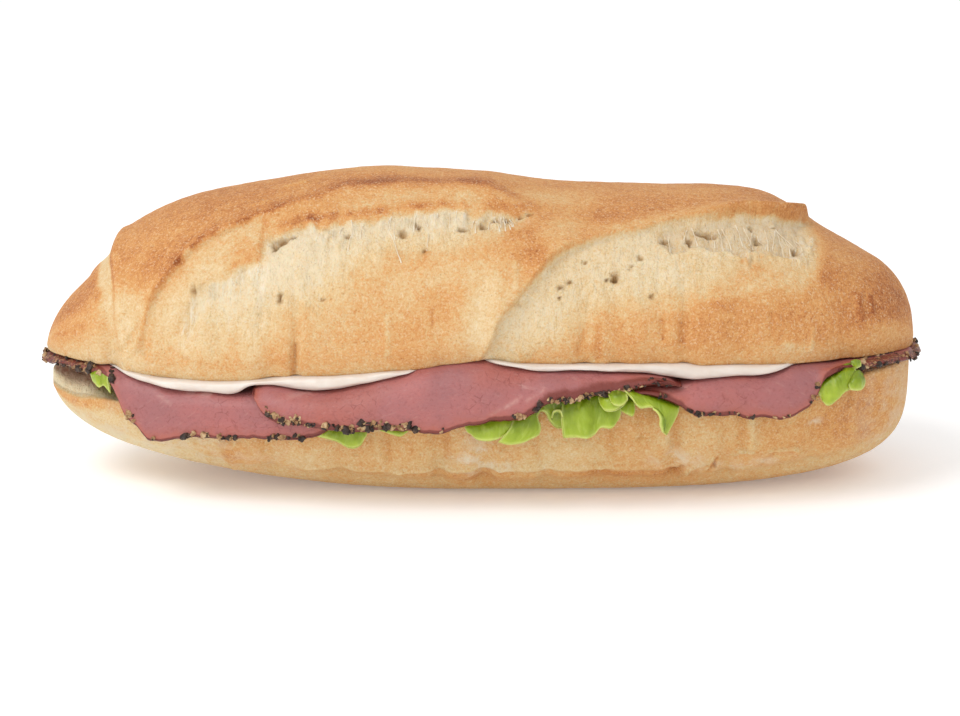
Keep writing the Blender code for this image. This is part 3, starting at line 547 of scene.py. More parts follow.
def slashDistance(line, x, degrees):
    # Millimetres below a line on the crust
    lean = (smoothLine(line, x + 0.5) - smoothLine(line, x - 0.5)) * loaf["girthPerDegree"]
    return (smoothLine(line, x) - degrees) * loaf["girthPerDegree"] / np.sqrt(1 + lean**2)


def fromSegment(across, up, start, end):
    # How far places are from a straight line between two points
    ahead = end - start
    across, up = across - start[0], up - start[1]
    share = np.clip((across * ahead[0] + up * ahead[1]) / (ahead @ ahead), 0, 1)
    return np.hypot(across - share * ahead[0], up - share * ahead[1])


def fromScar(x, degrees, scar):
    # Millimetres from a short straight fold
    scale = np.array([1, loaf["girthPerDegree"]])
    return fromSegment(x, degrees * scale[1], np.array(scar[:2]) * scale, np.array(scar[2:4]) * scale)


def withPatches(baked, patches, x, degrees, ragged=0.0, frayed=0.0):
    # Browning with soft round patches added: place, degrees, half width, half height, amount
    for place, at, wide, high, amount in patches:
        baked = baked + amount * np.exp(-((x - place) / wide + ragged) ** 2 - ((degrees - at) / high + frayed) ** 2)
    return baked


def topRelief(x, angle):
    # Height over the smooth loaf in mm, with the numbers that colour the crust
    look = topLook
    degrees = np.degrees(angle)
    girth = degrees * loaf["girthPerDegree"]
    front = 1 - fade(12, 34, degrees)
    height = uneven(x, angle) * fade(-17, 10, degrees) * (1 - fade(170, 197, degrees))
    crease = x - smoothLine(loaf["knobCrease"], degrees)
    onKnob = fade(-12, 4, degrees)
    height = height - 1.1 * bump(crease, -1.6, 1.7) + 0.45 * bump(crease, 2.0, 1.1) + 0.3 * bump(crease, -4.6, 1.2)
    height = height - 0.35 * bump(crease, -0.1, 0.45) * fade(4, 20, degrees)
    upper = fade(34, 60, degrees) * (1 - fade(120, 150, degrees))
    height = height - (0.9 * bump(x, -91, 5) + 0.6 * bump(x, 80, 8)) * upper
    height = height + wrinkles(loaf["topWrinkles"], x) * front
    height = height + wrinkles(loaf["topWrinkles"], -x) * fade(150, 172, degrees)

    tuft = softNoise(x / 2.2, girth / 9, 0, 11)
    web = softNoise(x / 1.7, girth / 5, 0, 23)
    hair = (1 - np.abs(softNoise(x / 0.9, girth / 7, 0, 13))) ** 3
    d = slashDistance(look["firstEar"], x, degrees)
    p = slashDistance(look["firstTear"], x, degrees)
    r = slashDistance(look["firstLow"], x, degrees)
    inFirst = fade(-79, -72, x) * (1 - fade(9, 15, x))
    crisp = 1 - fade(-52, -36, x)
    earEdge = np.where(d < 0, bump(d, 0, 3.2), bump(d, 0, 0.55 + 3.0 * (1 - crisp)))
    recess = fade(-0.1, 0.8 + 5 * (1 - crisp), d) * (1 - fade(-7, 1.5, r))
    tear = np.where(p < 0, np.exp(np.minimum(p, 0) / 1.3), 1 - fade(0.3, 8, p)) * (1 - fade(-4, 1, r))
    lip = look["lip"] * (0.55 + 0.45 * crisp)
    height = height + inFirst * (lip * earEdge - 0.75 * recess - (1.0 + 0.6 * tuft) * tear)
    height = height + inFirst * (1 - crisp) * recess * np.exp(np.minimum(p, 0) / 2.5) * (0.5 * web - 0.1)
    bed = inFirst * fade(-0.1, 0.8 + 1.6 * (1 - crisp), d + 0.8 * web) * (1 - fade(-3, 3.5, r + 1.6 * tuft))
    torn = inFirst * fade(-0.9, 1.3, p + 1.3 * tuft + 0.7 * web) * (1 - fade(-6, 3, r + 1.8 * tuft))

    e = slashDistance(look["secondEar"], x, degrees)
    w = slashDistance(look["webLow"], x, degrees)
    g = slashDistance(look["goldenLow"], x, degrees)
    c = slashDistance(look["paleLow"], x, degrees)
    inSecond = fade(-1, 3, x) * (1 - fade(73, 78.5, x))
    far = fade(44, 60, x)
    earEdge = np.where(e < 0, bump(e, 0, 3.0), bump(e, 0, 0.5))
    recess = fade(-0.2, 0.9 + 0.9 * far, e) * (1 - fade(-9, 1, g)) * (0.6 + 0.4 * fade(8, 24, x))
    hollow = fade(0.7, 2.2, e) * (1 - fade(-0.9, 0.6, w + 0.6 * web)) * fade(37, 41, x) * (1 - fade(72, 75, x))
    lip = look["lip"] * 0.8 + look["farLip"] * far + 1.3 * fade(65, 73, x) * (e < 0)
    height = height + (1 - fade(72.4, 76.2, x)) * fade(-1, 3, x) * lip * earEdge - 1.35 * inSecond * recess
    height = height + inSecond * ((0.5 * web - 1.1) * hollow + 0.6 * far * bump(w, 1.0 + 0.6 * web, 0.8) * (1 - hollow))
    bed2 = inSecond * fade(-0.2, 0.6, e) * (1 - fade(-1.8, 1.8, g + 1.3 * web))
    pale2 = inSecond * fade(-0.2, 0.6, e) * (1 - fade(-3.5, 2.5, c + 1.6 * tuft))
    strap = x - smoothLine(look["strapLeft"], degrees)
    onStrap = fade(-3, 2.5, strap) * (1 - fade(-0.35, 0.3, e)) * (1 - fade(44, 66, degrees)) * (1 - fade(18, 24, x))
    height = height + 0.9 * onStrap

    tornArea = np.clip(np.maximum(torn, pale2), 0, 1)
    nearTear = np.maximum(torn * np.exp(-np.abs(p - 1.5) / 4.5), pale2 * far * np.exp(-np.abs(w) / 2.5))
    crumb = 0.16 * softNoise(x / 0.95, girth / 5.5, 0, 31) + 0.10 * softNoise(x / 2.5, girth / 3, 0, 33)
    height = height + tornArea * crumb
    height = height + nearTear * (0.75 * hair - 0.3)
    # painted shade, laid on later with the hollow colour: in the second slash's hollow, along the pocket just under the
    # first tear, and in every pit
    hollowShade = 0.16 * hollow * inSecond + 0.22 * torn * np.exp(-np.abs(p) / 1.2) * np.clip(0.6 - hair + 0.5 * tuft, 0, 1)
    ragged, frayed = (0.45 * softNoise(x / 0.9, girth / 0.9, 0, seed) for seed in (51, 52))
    for place, at, wide, high, deep in look["pits"]:
        far2 = ((x - place) / wide + ragged) ** 2 + ((degrees - at) * loaf["girthPerDegree"] / high + frayed) ** 2
        height = height - deep * np.exp(-(far2**1.5)) + 0.12 * deep * bump(np.sqrt(far2), 1.35, 0.3)
        hollowShade = np.maximum(hollowShade, 0.8 * np.exp(-(far2**1.5)))

    lumps = roughNoise(x / 8, girth / 8, 0, 27, 3)
    baked = 0.38 + 0.25 * fade(18, 48, degrees) + 0.05 * lumps
    baked = baked + (0.11 * fade(-50, -35, x) - 0.06) * (1 - fade(-16, 4, degrees))
    baked = baked + 0.04 * fade(20, 40, x) - 0.12 * fade(150, 190, degrees)
    baked = withPatches(baked, look["patches"], x, degrees)
    baked = (baked + (0.10 + 0.14 * lumps) * inFirst * bump(d, -1.0 + tuft, 1.8)
             + 0.20 * inFirst * crisp * bump(d, 0.1, 0.4))
    baked = baked - 0.20 * inSecond * bump(e, -1.0, 2.4) * fade(22, 32, x) * (1 - fade(50, 58, x))
    stripe = fade(-3.6, -2.8, crease + 0.4 * tuft) * (1 - fade(-0.6, 0.1, crease)) * fade(8, 24, degrees)
    baked = baked * (1 - 0.9 * stripe) + 0.9 * stripe * (0.17 + 0.10 * hair)
    baked = baked + 0.12 * bump(crease, 0.5, 0.5) * onKnob
    slope = 0.40 - 0.16 * fade(2, 7, d) * crisp + 0.14 * (1 - crisp) * (1 - fade(0, 9, d)) + 0.16 * lumps
    slope = slope + (0.18 + 0.14 * web) * bump(p, -1.8, 1.6) * fade(-58, -53, x)
    low = 0.06 + 0.25 * fade(-12, 1, r) + 0.04 * tuft - 0.04 * nearTear
    baked = baked * (1 - bed) + bed * (slope * (1 - torn) + low * torn)
    tan = 0.40 + 0.08 * lumps - 0.10 * fade(62, 76, x)
    low = 0.10 + 0.15 * fade(-9, 0, c) + 0.03 * web
    baked = baked * (1 - bed2) + bed2 * (tan * (1 - pale2) + low * pale2)
    lipUnder = inSecond * far * fade(-0.6, 0.2, e) * (1 - fade(0.6, 1.5, e + 0.3 * web))
    baked = baked * (1 - lipUnder) + 0.66 * lipUnder
    strapSpot = 0.36 + 0.30 * np.exp(-((x - 11) / 4) ** 2 - ((degrees - 32) / 9) ** 2)
    baked = baked * (1 - 0.5 * onStrap) + 0.5 * onStrap * strapSpot
    baked = withPatches(baked, look["blotches"], x, degrees, ragged, frayed)
    # along a fold's groove the darker browning is partly painted shade
    for scar in look["scars"]:
        near = bump(fromScar(x, degrees, scar), 0, scar[4])
        height = height + scar[5] * near
        baked = baked + scar[6] * near
    # pale fibres and webs near the tears and in the second slash's hollow, partly a painted highlight
    paleFibreAndSheen = np.clip(1.3 * nearTear * hair + 0.5 * hollow * inSecond, 0, 1)
    return height, {"baked": baked, "torn": tornArea, "hollow": np.clip(hollowShade, 0, 1), "paleFibreAndSheen": paleFibreAndSheen}


def makeTop():
    look = topLook
    tuck = loaf["tuckAngle"]
    angle = np.concatenate([np.linspace(-tuck, math.radians(112), look["frontRows"]),
                            np.linspace(math.radians(112), math.pi + tuck, look["backRows"] + 1)[1:]])
    x, angle = np.meshgrid(stations(loaf["reach"], look["stations"]), angle, indexing="ij")
    skin = topSection(x, angle)
    height, numbers = topRelief(x, angle)
    ends = np.clip(taper(x, loaf["reach"], loaf["topPlan"]) * 1.6, 0, 1)
    grain = roughNoise(skin[..., 0] / 2.3, skin[..., 1] / 2.3, skin[..., 2] / 2.3, 41) * 0.10
    grain = grain + roughNoise(skin[..., 0] / 9, skin[..., 1] / 9, skin[..., 2] / 9, 43, 2) * 0.22
    skin = skin - gridNormals(skin) * ((height + grain) * ends)[..., None]
    skin[..., 2] -= smoothLine(look["rimSag"], x) * (1 - fade(-tuck, 0.4, angle))
    share = np.linspace(0, 1, look["cutRows"] + 2)[None, 1:-1, None]
    cut = skin[:, -1:] * (1 - share) + skin[:, :1] * share
    inside = np.sin(share[..., 0] * math.pi) ** 0.5
    cut[..., 2] += 0.5 * inside * (1 + roughNoise(cut[..., 0] / 3, cut[..., 1] / 3, 0, 47)) * ends[:, :1]
    # the hollow numbers are painted shade, and the silky fibre numbers are pale fibres with a painted highlight
    numbers = {"baked": (numbers["baked"], 0.05, (0.55, 0.5)), "torn": (numbers["torn"], 1, (0, 0)),
               "hollow": (numbers["hollow"], 0, (0, 0)), "flour": (0, 0, (0, 0)), "paleFibreAndSheen": (numbers["paleFibreAndSheen"], 0, (0, 0))}
    girth = np.degrees(angle) * loaf["girthPerDegree"]
    return closeHalf("topHalf", skin, cut, x, girth, (loaf["reach"], topCut, 1.5), numbers, crustMaterial)


# Threads of crumb that span the torn slashes

threads = {
    "thickness": 0.13, "wiggle": 0.55, "points": 9, "sides": 6, "waver": 650, "lift": 0.25, "seed": 4, "hairs": 30,
    # from place and degrees to place and degrees
    "spans": [(53.0, 57.0, 54.1, 43.4), (54.1, 58.9, 55.9, 44.6), (57.2, 61.7, 58.4, 47.0), (58.9, 60.6, 60.9, 46.5),
        (60.9, 58.2, 60.0, 47.6), (62.2, 57.2, 63.6, 46.5), (64.1, 61.9, 64.1, 44.8), (66.5, 61.9, 65.3, 46.5),
        (67.2, 62.9, 68.3, 44.6), (66.7, 63.3, 71.4, 51.9), (47.0, 57.2, 48.1, 45.1), (45.9, 55.7, 45.1, 48.9),
        (41.7, 50.0, 42.0, 41.5), (51.7, 56.1, 52.2, 45.5), (69.0, 61.7, 69.7, 45.5), (71.9, 62.7, 72.5, 51.5),
        (-26.1, 50, -26.4, 42), (-19.7, 44.8, -17, 29.6), (-18.8, 50, -18.5, 40), (-11.1, 44, -11.5, 35),
        (-28.3, 44, -28.8, 36)],
}


def onCrust(x, degrees, above=0.0):
    # A point on the finished crust, in loaf millimetres
    place, angle = np.array([float(x)]), np.array([math.radians(degrees)])
    along = topSection(place + 0.05, angle) - topSection(place - 0.05, angle)
    around = topSection(place, angle + 0.003) - topSection(place, angle - 0.003)
    out = np.cross(along, around)[0]
    point = topSection(place, angle)[0]
    out = out / np.linalg.norm(out) * (1 if out[1] * point[1] > 0 else -1)
    return point + out * (topRelief(place, angle)[0][0] + above)


def threadTree(material):
    # Each given line becomes a wavering round thread, thinnest in its middle
    tree = Growth("threads", (("Thickness", "Float"), ("Wiggle", "Float")))
    lines = tree.add("GeometryNodeMeshToCurve", {0: tree.given["Geometry"]}).outputs[0]
    even = tree.add("GeometryNodeResampleCurve", {"Curve": lines, "Count": threads["points"]}).outputs[0]
    along = tree.add("GeometryNodeSplineParameter").outputs["Factor"]
    arch = tree.times(tree.times(along, tree.math("SUBTRACT", 1.0, along)), 4.0)
    wavering = tree.shaken(even, threads["waver"], tree.times(arch, tree.given["Wiggle"]))
    width = tree.math("SUBTRACT", 1.5, arch)
    line = tree.add("GeometryNodeSetCurveRadius", {"Curve": wavering, "Radius": width}).outputs[0]
    ring = tree.add("GeometryNodeCurvePrimitiveCircle", {"Resolution": threads["sides"],
                                                              "Radius": tree.given["Thickness"]})
    tube = tree.add("GeometryNodeCurveToMesh", {"Curve": line, "Profile Curve": ring.outputs["Curve"],
                                                "Fill Caps": True})
    if "Scale" in tube.inputs:
        tree.put(tube.inputs["Scale"], tree.add("GeometryNodeInputRadius").outputs[0])
    return tree.done(tree.real(tube.outputs[0]), material)


def makeThreads():
    rng = np.random.default_rng(threads["seed"])
    spans = list(threads["spans"])
    for x in rng.uniform(-36, 8, threads["hairs"]):
        top = float(smoothLine(topLook["firstTear"], x)) - rng.uniform(0, 4)
        spans.append((x, top, x + rng.uniform(-0.8, 0.8), top - rng.uniform(4, 10)))
    points, edges = [], []
    for fromX, fromDegrees, toX, toDegrees in spans:
        for t in (0, 0.3, 0.7, 1):
            if t:
                edges.append((len(points) - 1, len(points)))
            above = -0.1 if t in (0, 1) else threads["lift"]
            points.append(onCrust(fromX + (toX - fromX) * t, fromDegrees + (toDegrees - fromDegrees) * t, above))
    s = Shader("crumb threads")
    colour = s.ramp(s.noise(500, 3), [(0.3, (246, 226, 192)), (0.7, (252, 242, 220))])
    material = s.finish(Base_Color=colour, Roughness=0.6, Specular_IOR_Level=0.25)
    obj = inScene("crumbThreads", barePoints("crumbThreads", points, edges))
    return grownBy(obj, threadTree(material), {"Thickness": threads["thickness"] * mm,
                                               "Wiggle": threads["wiggle"] * mm})


# Bottom half of the roll

baseLook = {
    # the tint tones the lower crust down a little, as painted shade
    "stations": 400, "rows": 190, "cutRows": 26, "shadeTint": (252, 255, 253), "rightRise": 2.0, "leftDrop": 1.6,
    "leftDome": 3.3, "rightDome": 0.6,
    # floury and baked patches and folds, as in topLook; the browner patches at the right end and the darker browning
    # along the grooves are partly painted shade
    "floury": [(-2, 24.7, 4, 4, 0.8), (0.2, 20.4, 4, 4, 0.8), (2.3, 29.2, 5, 4, 0.8), (2, 12, 6, 7, 0.5),
        (75, 13, 1.5, 2, 0.7), (-1, 36, 4, 4, 0.5), (-78, 40, 30, 30, 0.5), (93, 30, 8, 40, 0.35),
        (44, 28, 6, 6, 0.6), (60, 36, 10, 5, 0.5)],
    "patches": [(-99, 8, 7, 12, 0.14), (-88, 2, 4, 3, 0.1), (-82, 12, 6, 6, -0.12), (-57, 34, 4, 8, 0.1),
        (-66, 18, 10, 10, -0.12), (-76, 14, 8, 9, 0.02), (-55, 36, 5, 14, 0.1), (20, 26, 16, 12, -0.1),
        (30, 36, 22, 10, -0.04), (-12, 26, 12, 12, -0.06), (-46, 20, 6, 12, 0.0), (52, 16, 7, 8, -0.12),
        (66, 18, 8, 10, 0.02), (84, 14, 12, 14, 0.18), (14, 22, 9, 10, -0.08), (-40, 28, 8, 10, -0.12),
        (-2, 44, 8, 6, 0.18), (27, 42, 8, 8, 0.22), (42, 42, 8, 8, 0.16), (86, 32, 8, 9, 0.12), (-86, 13, 6, 7, -0.1),
        (88, 6, 8, 6, 0.06), (74, 40, 14, 10, -0.04), (3, 30, 30, 5, -0.04)],
    "scars": [(-40, 37, -18, 35, 1.0, 0.4, -0.1), (-18, 35, 4.5, 31, 1.0, 0.4, -0.1),
        (4.5, 31, 27, 33, 1.0, 0.4, -0.1), (27, 33, 44, 35, 1.0, 0.35, -0.08), (-40, 42, -18, 40, 1.2, -0.2, 0.04),
        (-18, 40, 4.5, 36, 1.2, -0.2, 0.04), (4.5, 36, 27, 38, 1.2, -0.2, 0.04), (27, 38, 42, 40, 1.2, -0.18, 0.03),
        (44.2, 48, 46, 37, 0.7, 0.6, -0.14), (46, 37, 52.8, 27, 0.7, 0.6, -0.14),
        (43, 44, 45.2, 34.5, 0.6, -0.6, 0.12), (52.8, 27, 52.2, 37, 0.5, -0.7, 0.24),
        (52.2, 37, 51, 41, 0.5, -0.4, 0.14), (57.6, 5, 57.9, 20, 1.0, -0.45, 0.1),
        (60.2, 6, 60.6, 22, 0.9, 0.4, -0.16), (56.3, 27.6, 58.4, 23.9, 0.5, 0.4, -0.16),
        (58.4, 23.9, 60.6, 25.8, 0.5, 0.4, -0.16), (64.6, 26.7, 70.9, 28.5, 0.6, 0.35, -0.14),
        (70.9, 28.5, 72.2, 33.6, 0.6, 0.35, -0.12), (83.5, 9, 84.3, 33, 0.8, 0.25, -0.12),
        (-48.7, 16, -48, 26, 0.9, -0.35, 0.06), (23.2, 4, 23.6, 14, 0.8, -0.35, 0.08),
        (35.3, 4, 35.6, 13, 0.7, -0.35, 0.08), (4.5, 6, 5.0, 18, 0.7, -0.35, 0.06),
        (82.4, 2, 82.6, 9, 0.5, -0.3, 0.08), (-56.6, 21, -55.3, 52, 1.4, 0.45, 0.08),
        (-59.5, 22, -58.5, 50, 1.4, -0.3, -0.08), (-29, 8, -28, 24, 0.9, -0.3, 0.05),
        (12, 8, 13.5, 26, 0.9, -0.3, 0.06), (66, 30, 63, 40, 0.7, -0.3, 0.08), (-23, 3, -22, 26, 1.1, 0.4, -0.08),
        (-20.6, 4, -20, 27, 0.9, -0.4, 0.1), (-7.4, 6, -7.2, 25, 0.9, -0.35, 0.08),
        (28.5, 6, 29, 24, 0.9, -0.35, 0.08), (43.2, 2, 43.6, 20, 0.9, -0.4, 0.1),
        (41.4, 2, 41.6, 20, 0.9, 0.3, -0.06)],
}


def makeBase():
    look = baseLook
    x, angle = np.meshgrid(stations(loaf["baseReach"], look["stations"]), np.linspace(0, math.pi, look["rows"]),
                           indexing="ij")
    skin = baseSection(x, angle)
    degrees = np.degrees(angle)
    side = fade(0, 14, degrees) * (1 - fade(46, 60, degrees))
    back = fade(120, 134, degrees) * (1 - fade(166, 180, degrees))
    lumps = uneven(x, angle) - 0.5
    relief = (1.3 * wrinkles(loaf["baseWrinkles"], x) + lumps) * side
    relief = relief + (wrinkles(loaf["baseWrinkles"], 9 - x) + lumps) * back
    pinch = bump(degrees, 46, 5) + bump(degrees, 134, 5)
    pucker = roughNoise(skin[..., 0] / 5.5, skin[..., 1] / 9, skin[..., 2] / 8, 53) * 0.45 * (side + back)
    edge = bump(degrees, 41, 3) * (0.5 + 0.5 * softNoise(x / 4, 0, 0, 57))
    nearScars = [bump(fromScar(x, degrees, scar), 0, scar[4]) for scar in look["scars"]]
    relief = relief + sum(1.5 * scar[5] * near for scar, near in zip(look["scars"], nearScars))
    ends = np.clip(taper(x, loaf["baseReach"], loaf["basePlan"]) * 1.7 - 0.5, 0, 1)
    grain = roughNoise(skin[..., 0] / 2.3, skin[..., 1] / 2.3, skin[..., 2] / 2.3, 59) * 0.09 - 0.06
    skin = skin + gridNormals(skin) * ((relief - 0.5 * pinch + pucker - 0.3 + 0.3 * edge + grain) * ends)[..., None]
    rise = look["rightRise"] * fade(80, 87, x) - look["leftDrop"] * (1 - fade(-92, -84, x))
    skin[..., 2] += rise * ((1 - fade(0, 0.42, angle)) + fade(math.pi - 0.42, math.pi, angle))
    z = skin[..., 2]
    skin[..., 2] = np.where(z < 1, np.maximum(z + 1, 0) ** 2 / 4, z)
    share = np.linspace(0, 1, look["cutRows"] + 2)[None, 1:-1, None]
    cut = skin[:, -1:] * (1 - share) + skin[:, :1] * share
    crumb = roughNoise(cut[..., 0] / 2.6, cut[..., 1] / 2.6, 0, 61)
    cut[..., 2] -= np.clip(crumb, 0, 1) * 0.5 * np.sin(share[..., 0] * math.pi) ** 0.4
    nearEdge = 1 - 2 * np.abs(share[..., 0] - 0.5)
    dome = look["leftDome"] * (1 - fade(-90, -82, cut[..., 0])) + look["rightDome"] * fade(80, 86, cut[..., 0])
    cut[..., 2] += dome * (1 - (1 - nearEdge) ** 6)
    girth = degrees * 0.5
    left = 1 - fade(-84, -40, x)
    lumps = roughNoise(x / 8, girth / 8, 0, 63, 3)
    baked = 0.48 + 0.05 * lumps - 0.20 * left * fade(6, 26, degrees) - 0.20 * left * bump(degrees, 48, 16)
    baked = withPatches(baked, look["patches"], x, degrees)
    # the folds' browning: darker along the grooves, partly painted shade
    baked = baked + sum(scar[6] * near for scar, near in zip(look["scars"], nearScars))
    # painted light: paler where the base turns under, to lift the shade that falls there
    baked = baked - 0.10 * bump(degrees, 52, 9) * (1 - left)
    baked = baked + 0.06 * fade(66, 90, degrees) * (1 - fade(90, 114, degrees))
    flour = np.zeros_like(baked)
    for place, at, wide, high, amount in look["floury"]:
        flour = np.maximum(flour, amount * np.exp(-((x - place) / wide) ** 2 - ((degrees - at) / high) ** 2))
    # painted shade in the hollows of the cut crumb
    hollow = np.clip(crumb, 0, 1) * 0.15
    numbers = {"baked": (baked, 0.02, (0.5, 0.45)), "torn": (0, 1, (0, 0)), "hollow": (0, hollow, (0, 0)),
               "flour": (flour, 0, (0, 0)), "paleFibreAndSheen": (0, 0, (0, 0))}
    material = breadMaterial("lower crust", look["shadeTint"])
    return closeHalf("bottomHalf", skin, cut, x, girth, (loaf["baseReach"], baseCut, -1.0), numbers, material)


# Pastrami

leafRoom = [(-102, 3.9), (-88, 3.6), (-80, 2.6), (-72, 1.6), (-60, 1.4), (-44, 2.1), (-36, 2.2), (50, 2.2),
            (58, 1.6), (74, 1.6), (90, 2.0), (96, 1.2), (102, 1.0)]
sliceLook = {"thickness": 1.8, "overlapRise": 2.25, "bendInset": 2.3, "bendDrop": 0.5, "rowGap": 0.62}
slices = {
    "left": {
        "reach": (-100.0, -31.0),
        "faceTop": [(-102, 29.5), (-92, 29.5), (-86, 29.4), (-82, 29.2), (-80, 28.8), (-78.3, 28.4), (-76.6, 28.0),
            (-74.8, 27.4), (-73, 27.1), (-71.3, 26.7), (-69.6, 26.1), (-66, 25.9), (-60, 25.9), (-56, 25.6),
            (-52, 25.8), (-46, 26.2), (-36, 26.5)],
        "frontEdge": [(-102, 28.4), (-94, 28.2), (-90, 28.0), (-85.5, 27.8), (-83.6, 27.6), (-82.7, 27.0),
            (-81.2, 25.0), (-80, 22.6), (-78.8, 19.3), (-76.3, 17.3), (-74.6, 15.4), (-72.9, 14.2), (-71, 14.2),
            (-69.4, 14.8), (-67, 15.5), (-61, 15.8), (-58, 15.9), (-55, 16.2), (-52, 16.7), (-46, 16.6), (-40, 16.8),
            (-36, 17.6), (-33, 18.9), (-31, 20.4)],
        "backEdge": [(-102, 28.4), (-86, 25.0), (-70, 20.5), (-52, 19.0), (-36, 21.0)],
        "standOff": [(-102, 2.0), (-97, 1.8), (-93, 1.2), (-84, 1.4), (-79, 2.4), (-70, 2.2), (-48, 2.2), (-36, 2.6)],
        "onNeighbour": [(-102, 0), (-36, 0)],
        "rimBand": [(-102, 2.2), (-86, 2.0), (-83, 0.7), (-80, 0.35), (-60, 0.5), (-36, 0.8)], "endBand": (2.5, 0.2),
        "endThin": (2, 0.8, 0.5, 1), "seed": 80,
        "streaks": [(-65.6, 25.0, -57.3, 24.9, 0.7, 0.75), (-68, 22.5, -72, 24.5, 0.3, 0.3)],
    },
    "middle": {
        "reach": (-49.6, 44.0),
        "faceTop": [(-53, 27.3), (-49, 27.9), (-47, 28.2), (-45, 28.1), (-42, 27.6), (-40, 27.2), (-35, 27.2),
            (-33, 27.3), (-30, 27.7), (-27, 28.5), (-25, 29.0), (-22, 29.8), (-17, 30.9), (-12, 32.4), (-6.5, 33.3),
            (-1, 33.8), (1.3, 33.9), (4, 33.4), (6.5, 33.0), (9, 32.5), (14, 31.9), (20, 32.0), (27, 31.7),
            (34, 31.3), (38, 30.9), (41, 30.4), (44, 29.7)],
        "frontEdge": [(-50, 27.0), (-48.8, 24.8), (-47.4, 22.6), (-45, 21.2), (-40, 20.6), (-35, 19.9), (-30, 19.4),
            (-25, 19.2), (-20, 19.9), (-15, 19.9), (-12, 19.4), (-9, 18.9), (-6, 19.8), (-3, 20.6), (0, 21.3),
            (4, 21.9), (9, 22.4), (12, 23.6), (14.4, 25.6), (17, 26.2), (21, 26.4), (25, 27.4), (30, 27.7),
            (33, 28.6), (37, 29.6), (41, 29.9), (44, 29.4)],
        "backEdge": [(-53, 27.0), (-40, 21.5), (-15, 19.0), (12, 20.0), (22, 24.5), (29, 28.0), (42.6, 29.9)],
        "standOff": [(-50, 3.3), (-47.5, 3.8), (-44, 4.4), (-36, 4.7), (-28, 4.2), (14, 4.2), (24, 3.4), (32, 3.2),
            (41, 3.0), (44, 2.6)],
        "onNeighbour": [(-50, 0.5), (-46, 0.9), (-33, 1), (-27, 0), (20, 0), (29, 1), (39, 1), (44, 0.2)],
        "rimBand": [(-50, 0.1), (-47.5, 0.3), (-44, 0.9), (-32, 1.1), (-10, 0.6), (4, 0.9), (12, 1.8), (18, 2.6),
            (30, 2.4), (36, 1.8), (43, 1.4)],
        "endBand": (0.02, 2.0), "endThin": (3.5, 0.3, 5, 0.15), "seed": 85,
        "streaks": [(2.7, 23.2, 8.8, 26.5, 0.35, 0.5), (9.9, 25.8, 14.2, 28.3, 0.3, 0.4),
            (-43, 25.4, -37, 25.8, 0.4, 0.3)],
    },
    "right": {
        "reach": (32.5, 100.7),
        "faceTop": [(32, 28.4), (40, 28.4), (44, 28.7), (48, 29.6), (53, 29.9), (58, 30.1), (62, 30.0), (64, 30.3),
            (66.6, 30.9), (69, 31.5), (72, 31.7), (92, 31.6), (102, 31.2)],
        "frontEdge": [(32, 28.0), (35, 27.6), (38, 27.0), (40.5, 26.2), (43, 25.0), (45.7, 23.4), (48, 22.4),
            (52, 22.4), (56, 22.4), (59, 21.4), (62, 21.5), (65, 20.9), (68, 21.2), (71, 22.6), (72.8, 23.9),
            (74.2, 26.0), (75.2, 28.6), (77.3, 30.1), (79.6, 30.9), (84, 31.0), (92, 30.7), (102, 30.4)],
        "backEdge": [(32, 27.8), (40, 23.0), (58, 20.5), (78, 23.0), (90, 28.0), (102, 29.9)],
        "standOff": [(32, 2.7), (40, 2.8), (78, 2.4), (81, 1.2), (90, 1.2), (95, 1.8), (102, 2.2)],
        "onNeighbour": [(32, 0), (102, 0)],
        "rimBand": [(32, 0.5), (44, 0.9), (52, 0.9), (60, 0.4), (76, 0.5), (81, 0.8), (85, 2.0), (102, 2.6)],
        "endBand": (0.3, 2.5), "endThin": (2, 0.5, 2, 0.8), "seed": 90, "streaks": [(38, 26.8, 46, 27.4, 0.3, 0.3)],
    },
}


def sliceLevel(plan, x, y):
    rise = smoothLine(plan["onNeighbour"], x) * sliceLook["overlapRise"]
    half = sliceLook["thickness"] / 2
    inner = baseCut(x, y) + smoothLine(leafRoom, x) + half + rise
    front = smoothLine(plan["faceTop"], x) - half
    return inner + (front - inner) * fade(0.35, 0.95, -y / np.maximum(baseHalfDepth(x), 4))


def turnDown(start, hang, level, turnEnd, edge, counts):
    across, down = hang - start, level - turnEnd
    around = [(start + across * math.sin(t), turnEnd + down * math.cos(t))
              for t in np.linspace(0, math.pi / 2, counts[0] + 1)[1:]]
    return around + [(hang, turnEnd + (edge - turnEnd) * t) for t in np.linspace(0, 1, counts[1] + 1)[1:]]


def drapedPath(plan, x, flatCount, frontCounts, backCounts):
    off = smoothLine(plan["standOff"], x)
    hang = baseHalfDepth(x, off)
    start = np.maximum(baseHalfDepth(x) - sliceLook["bendInset"], 0.3 * hang)
    sides = []
    for side, edgeName, counts in ((1, "backEdge", backCounts), (-1, "frontEdge", frontCounts)):
        level = sliceLevel(plan, x, side * start)
        edge = np.minimum(smoothLine(plan[edgeName], x), level - 0.15)
        turnEnd = np.maximum(baseCut(x, side * start) - sliceLook["bendDrop"], level - 0.85 * (level - edge))
        sides.append([(side * y, z) for y, z in turnDown(start, hang, level, turnEnd, edge, counts)])
    flat = [(start * t, sliceLevel(plan, x, start * t)) for t in np.linspace(1, -1, flatCount)]
    return np.stack([np.stack([x, y, z], axis=-1) for y, z in sides[0][::-1] + flat + sides[1]], axis=1)


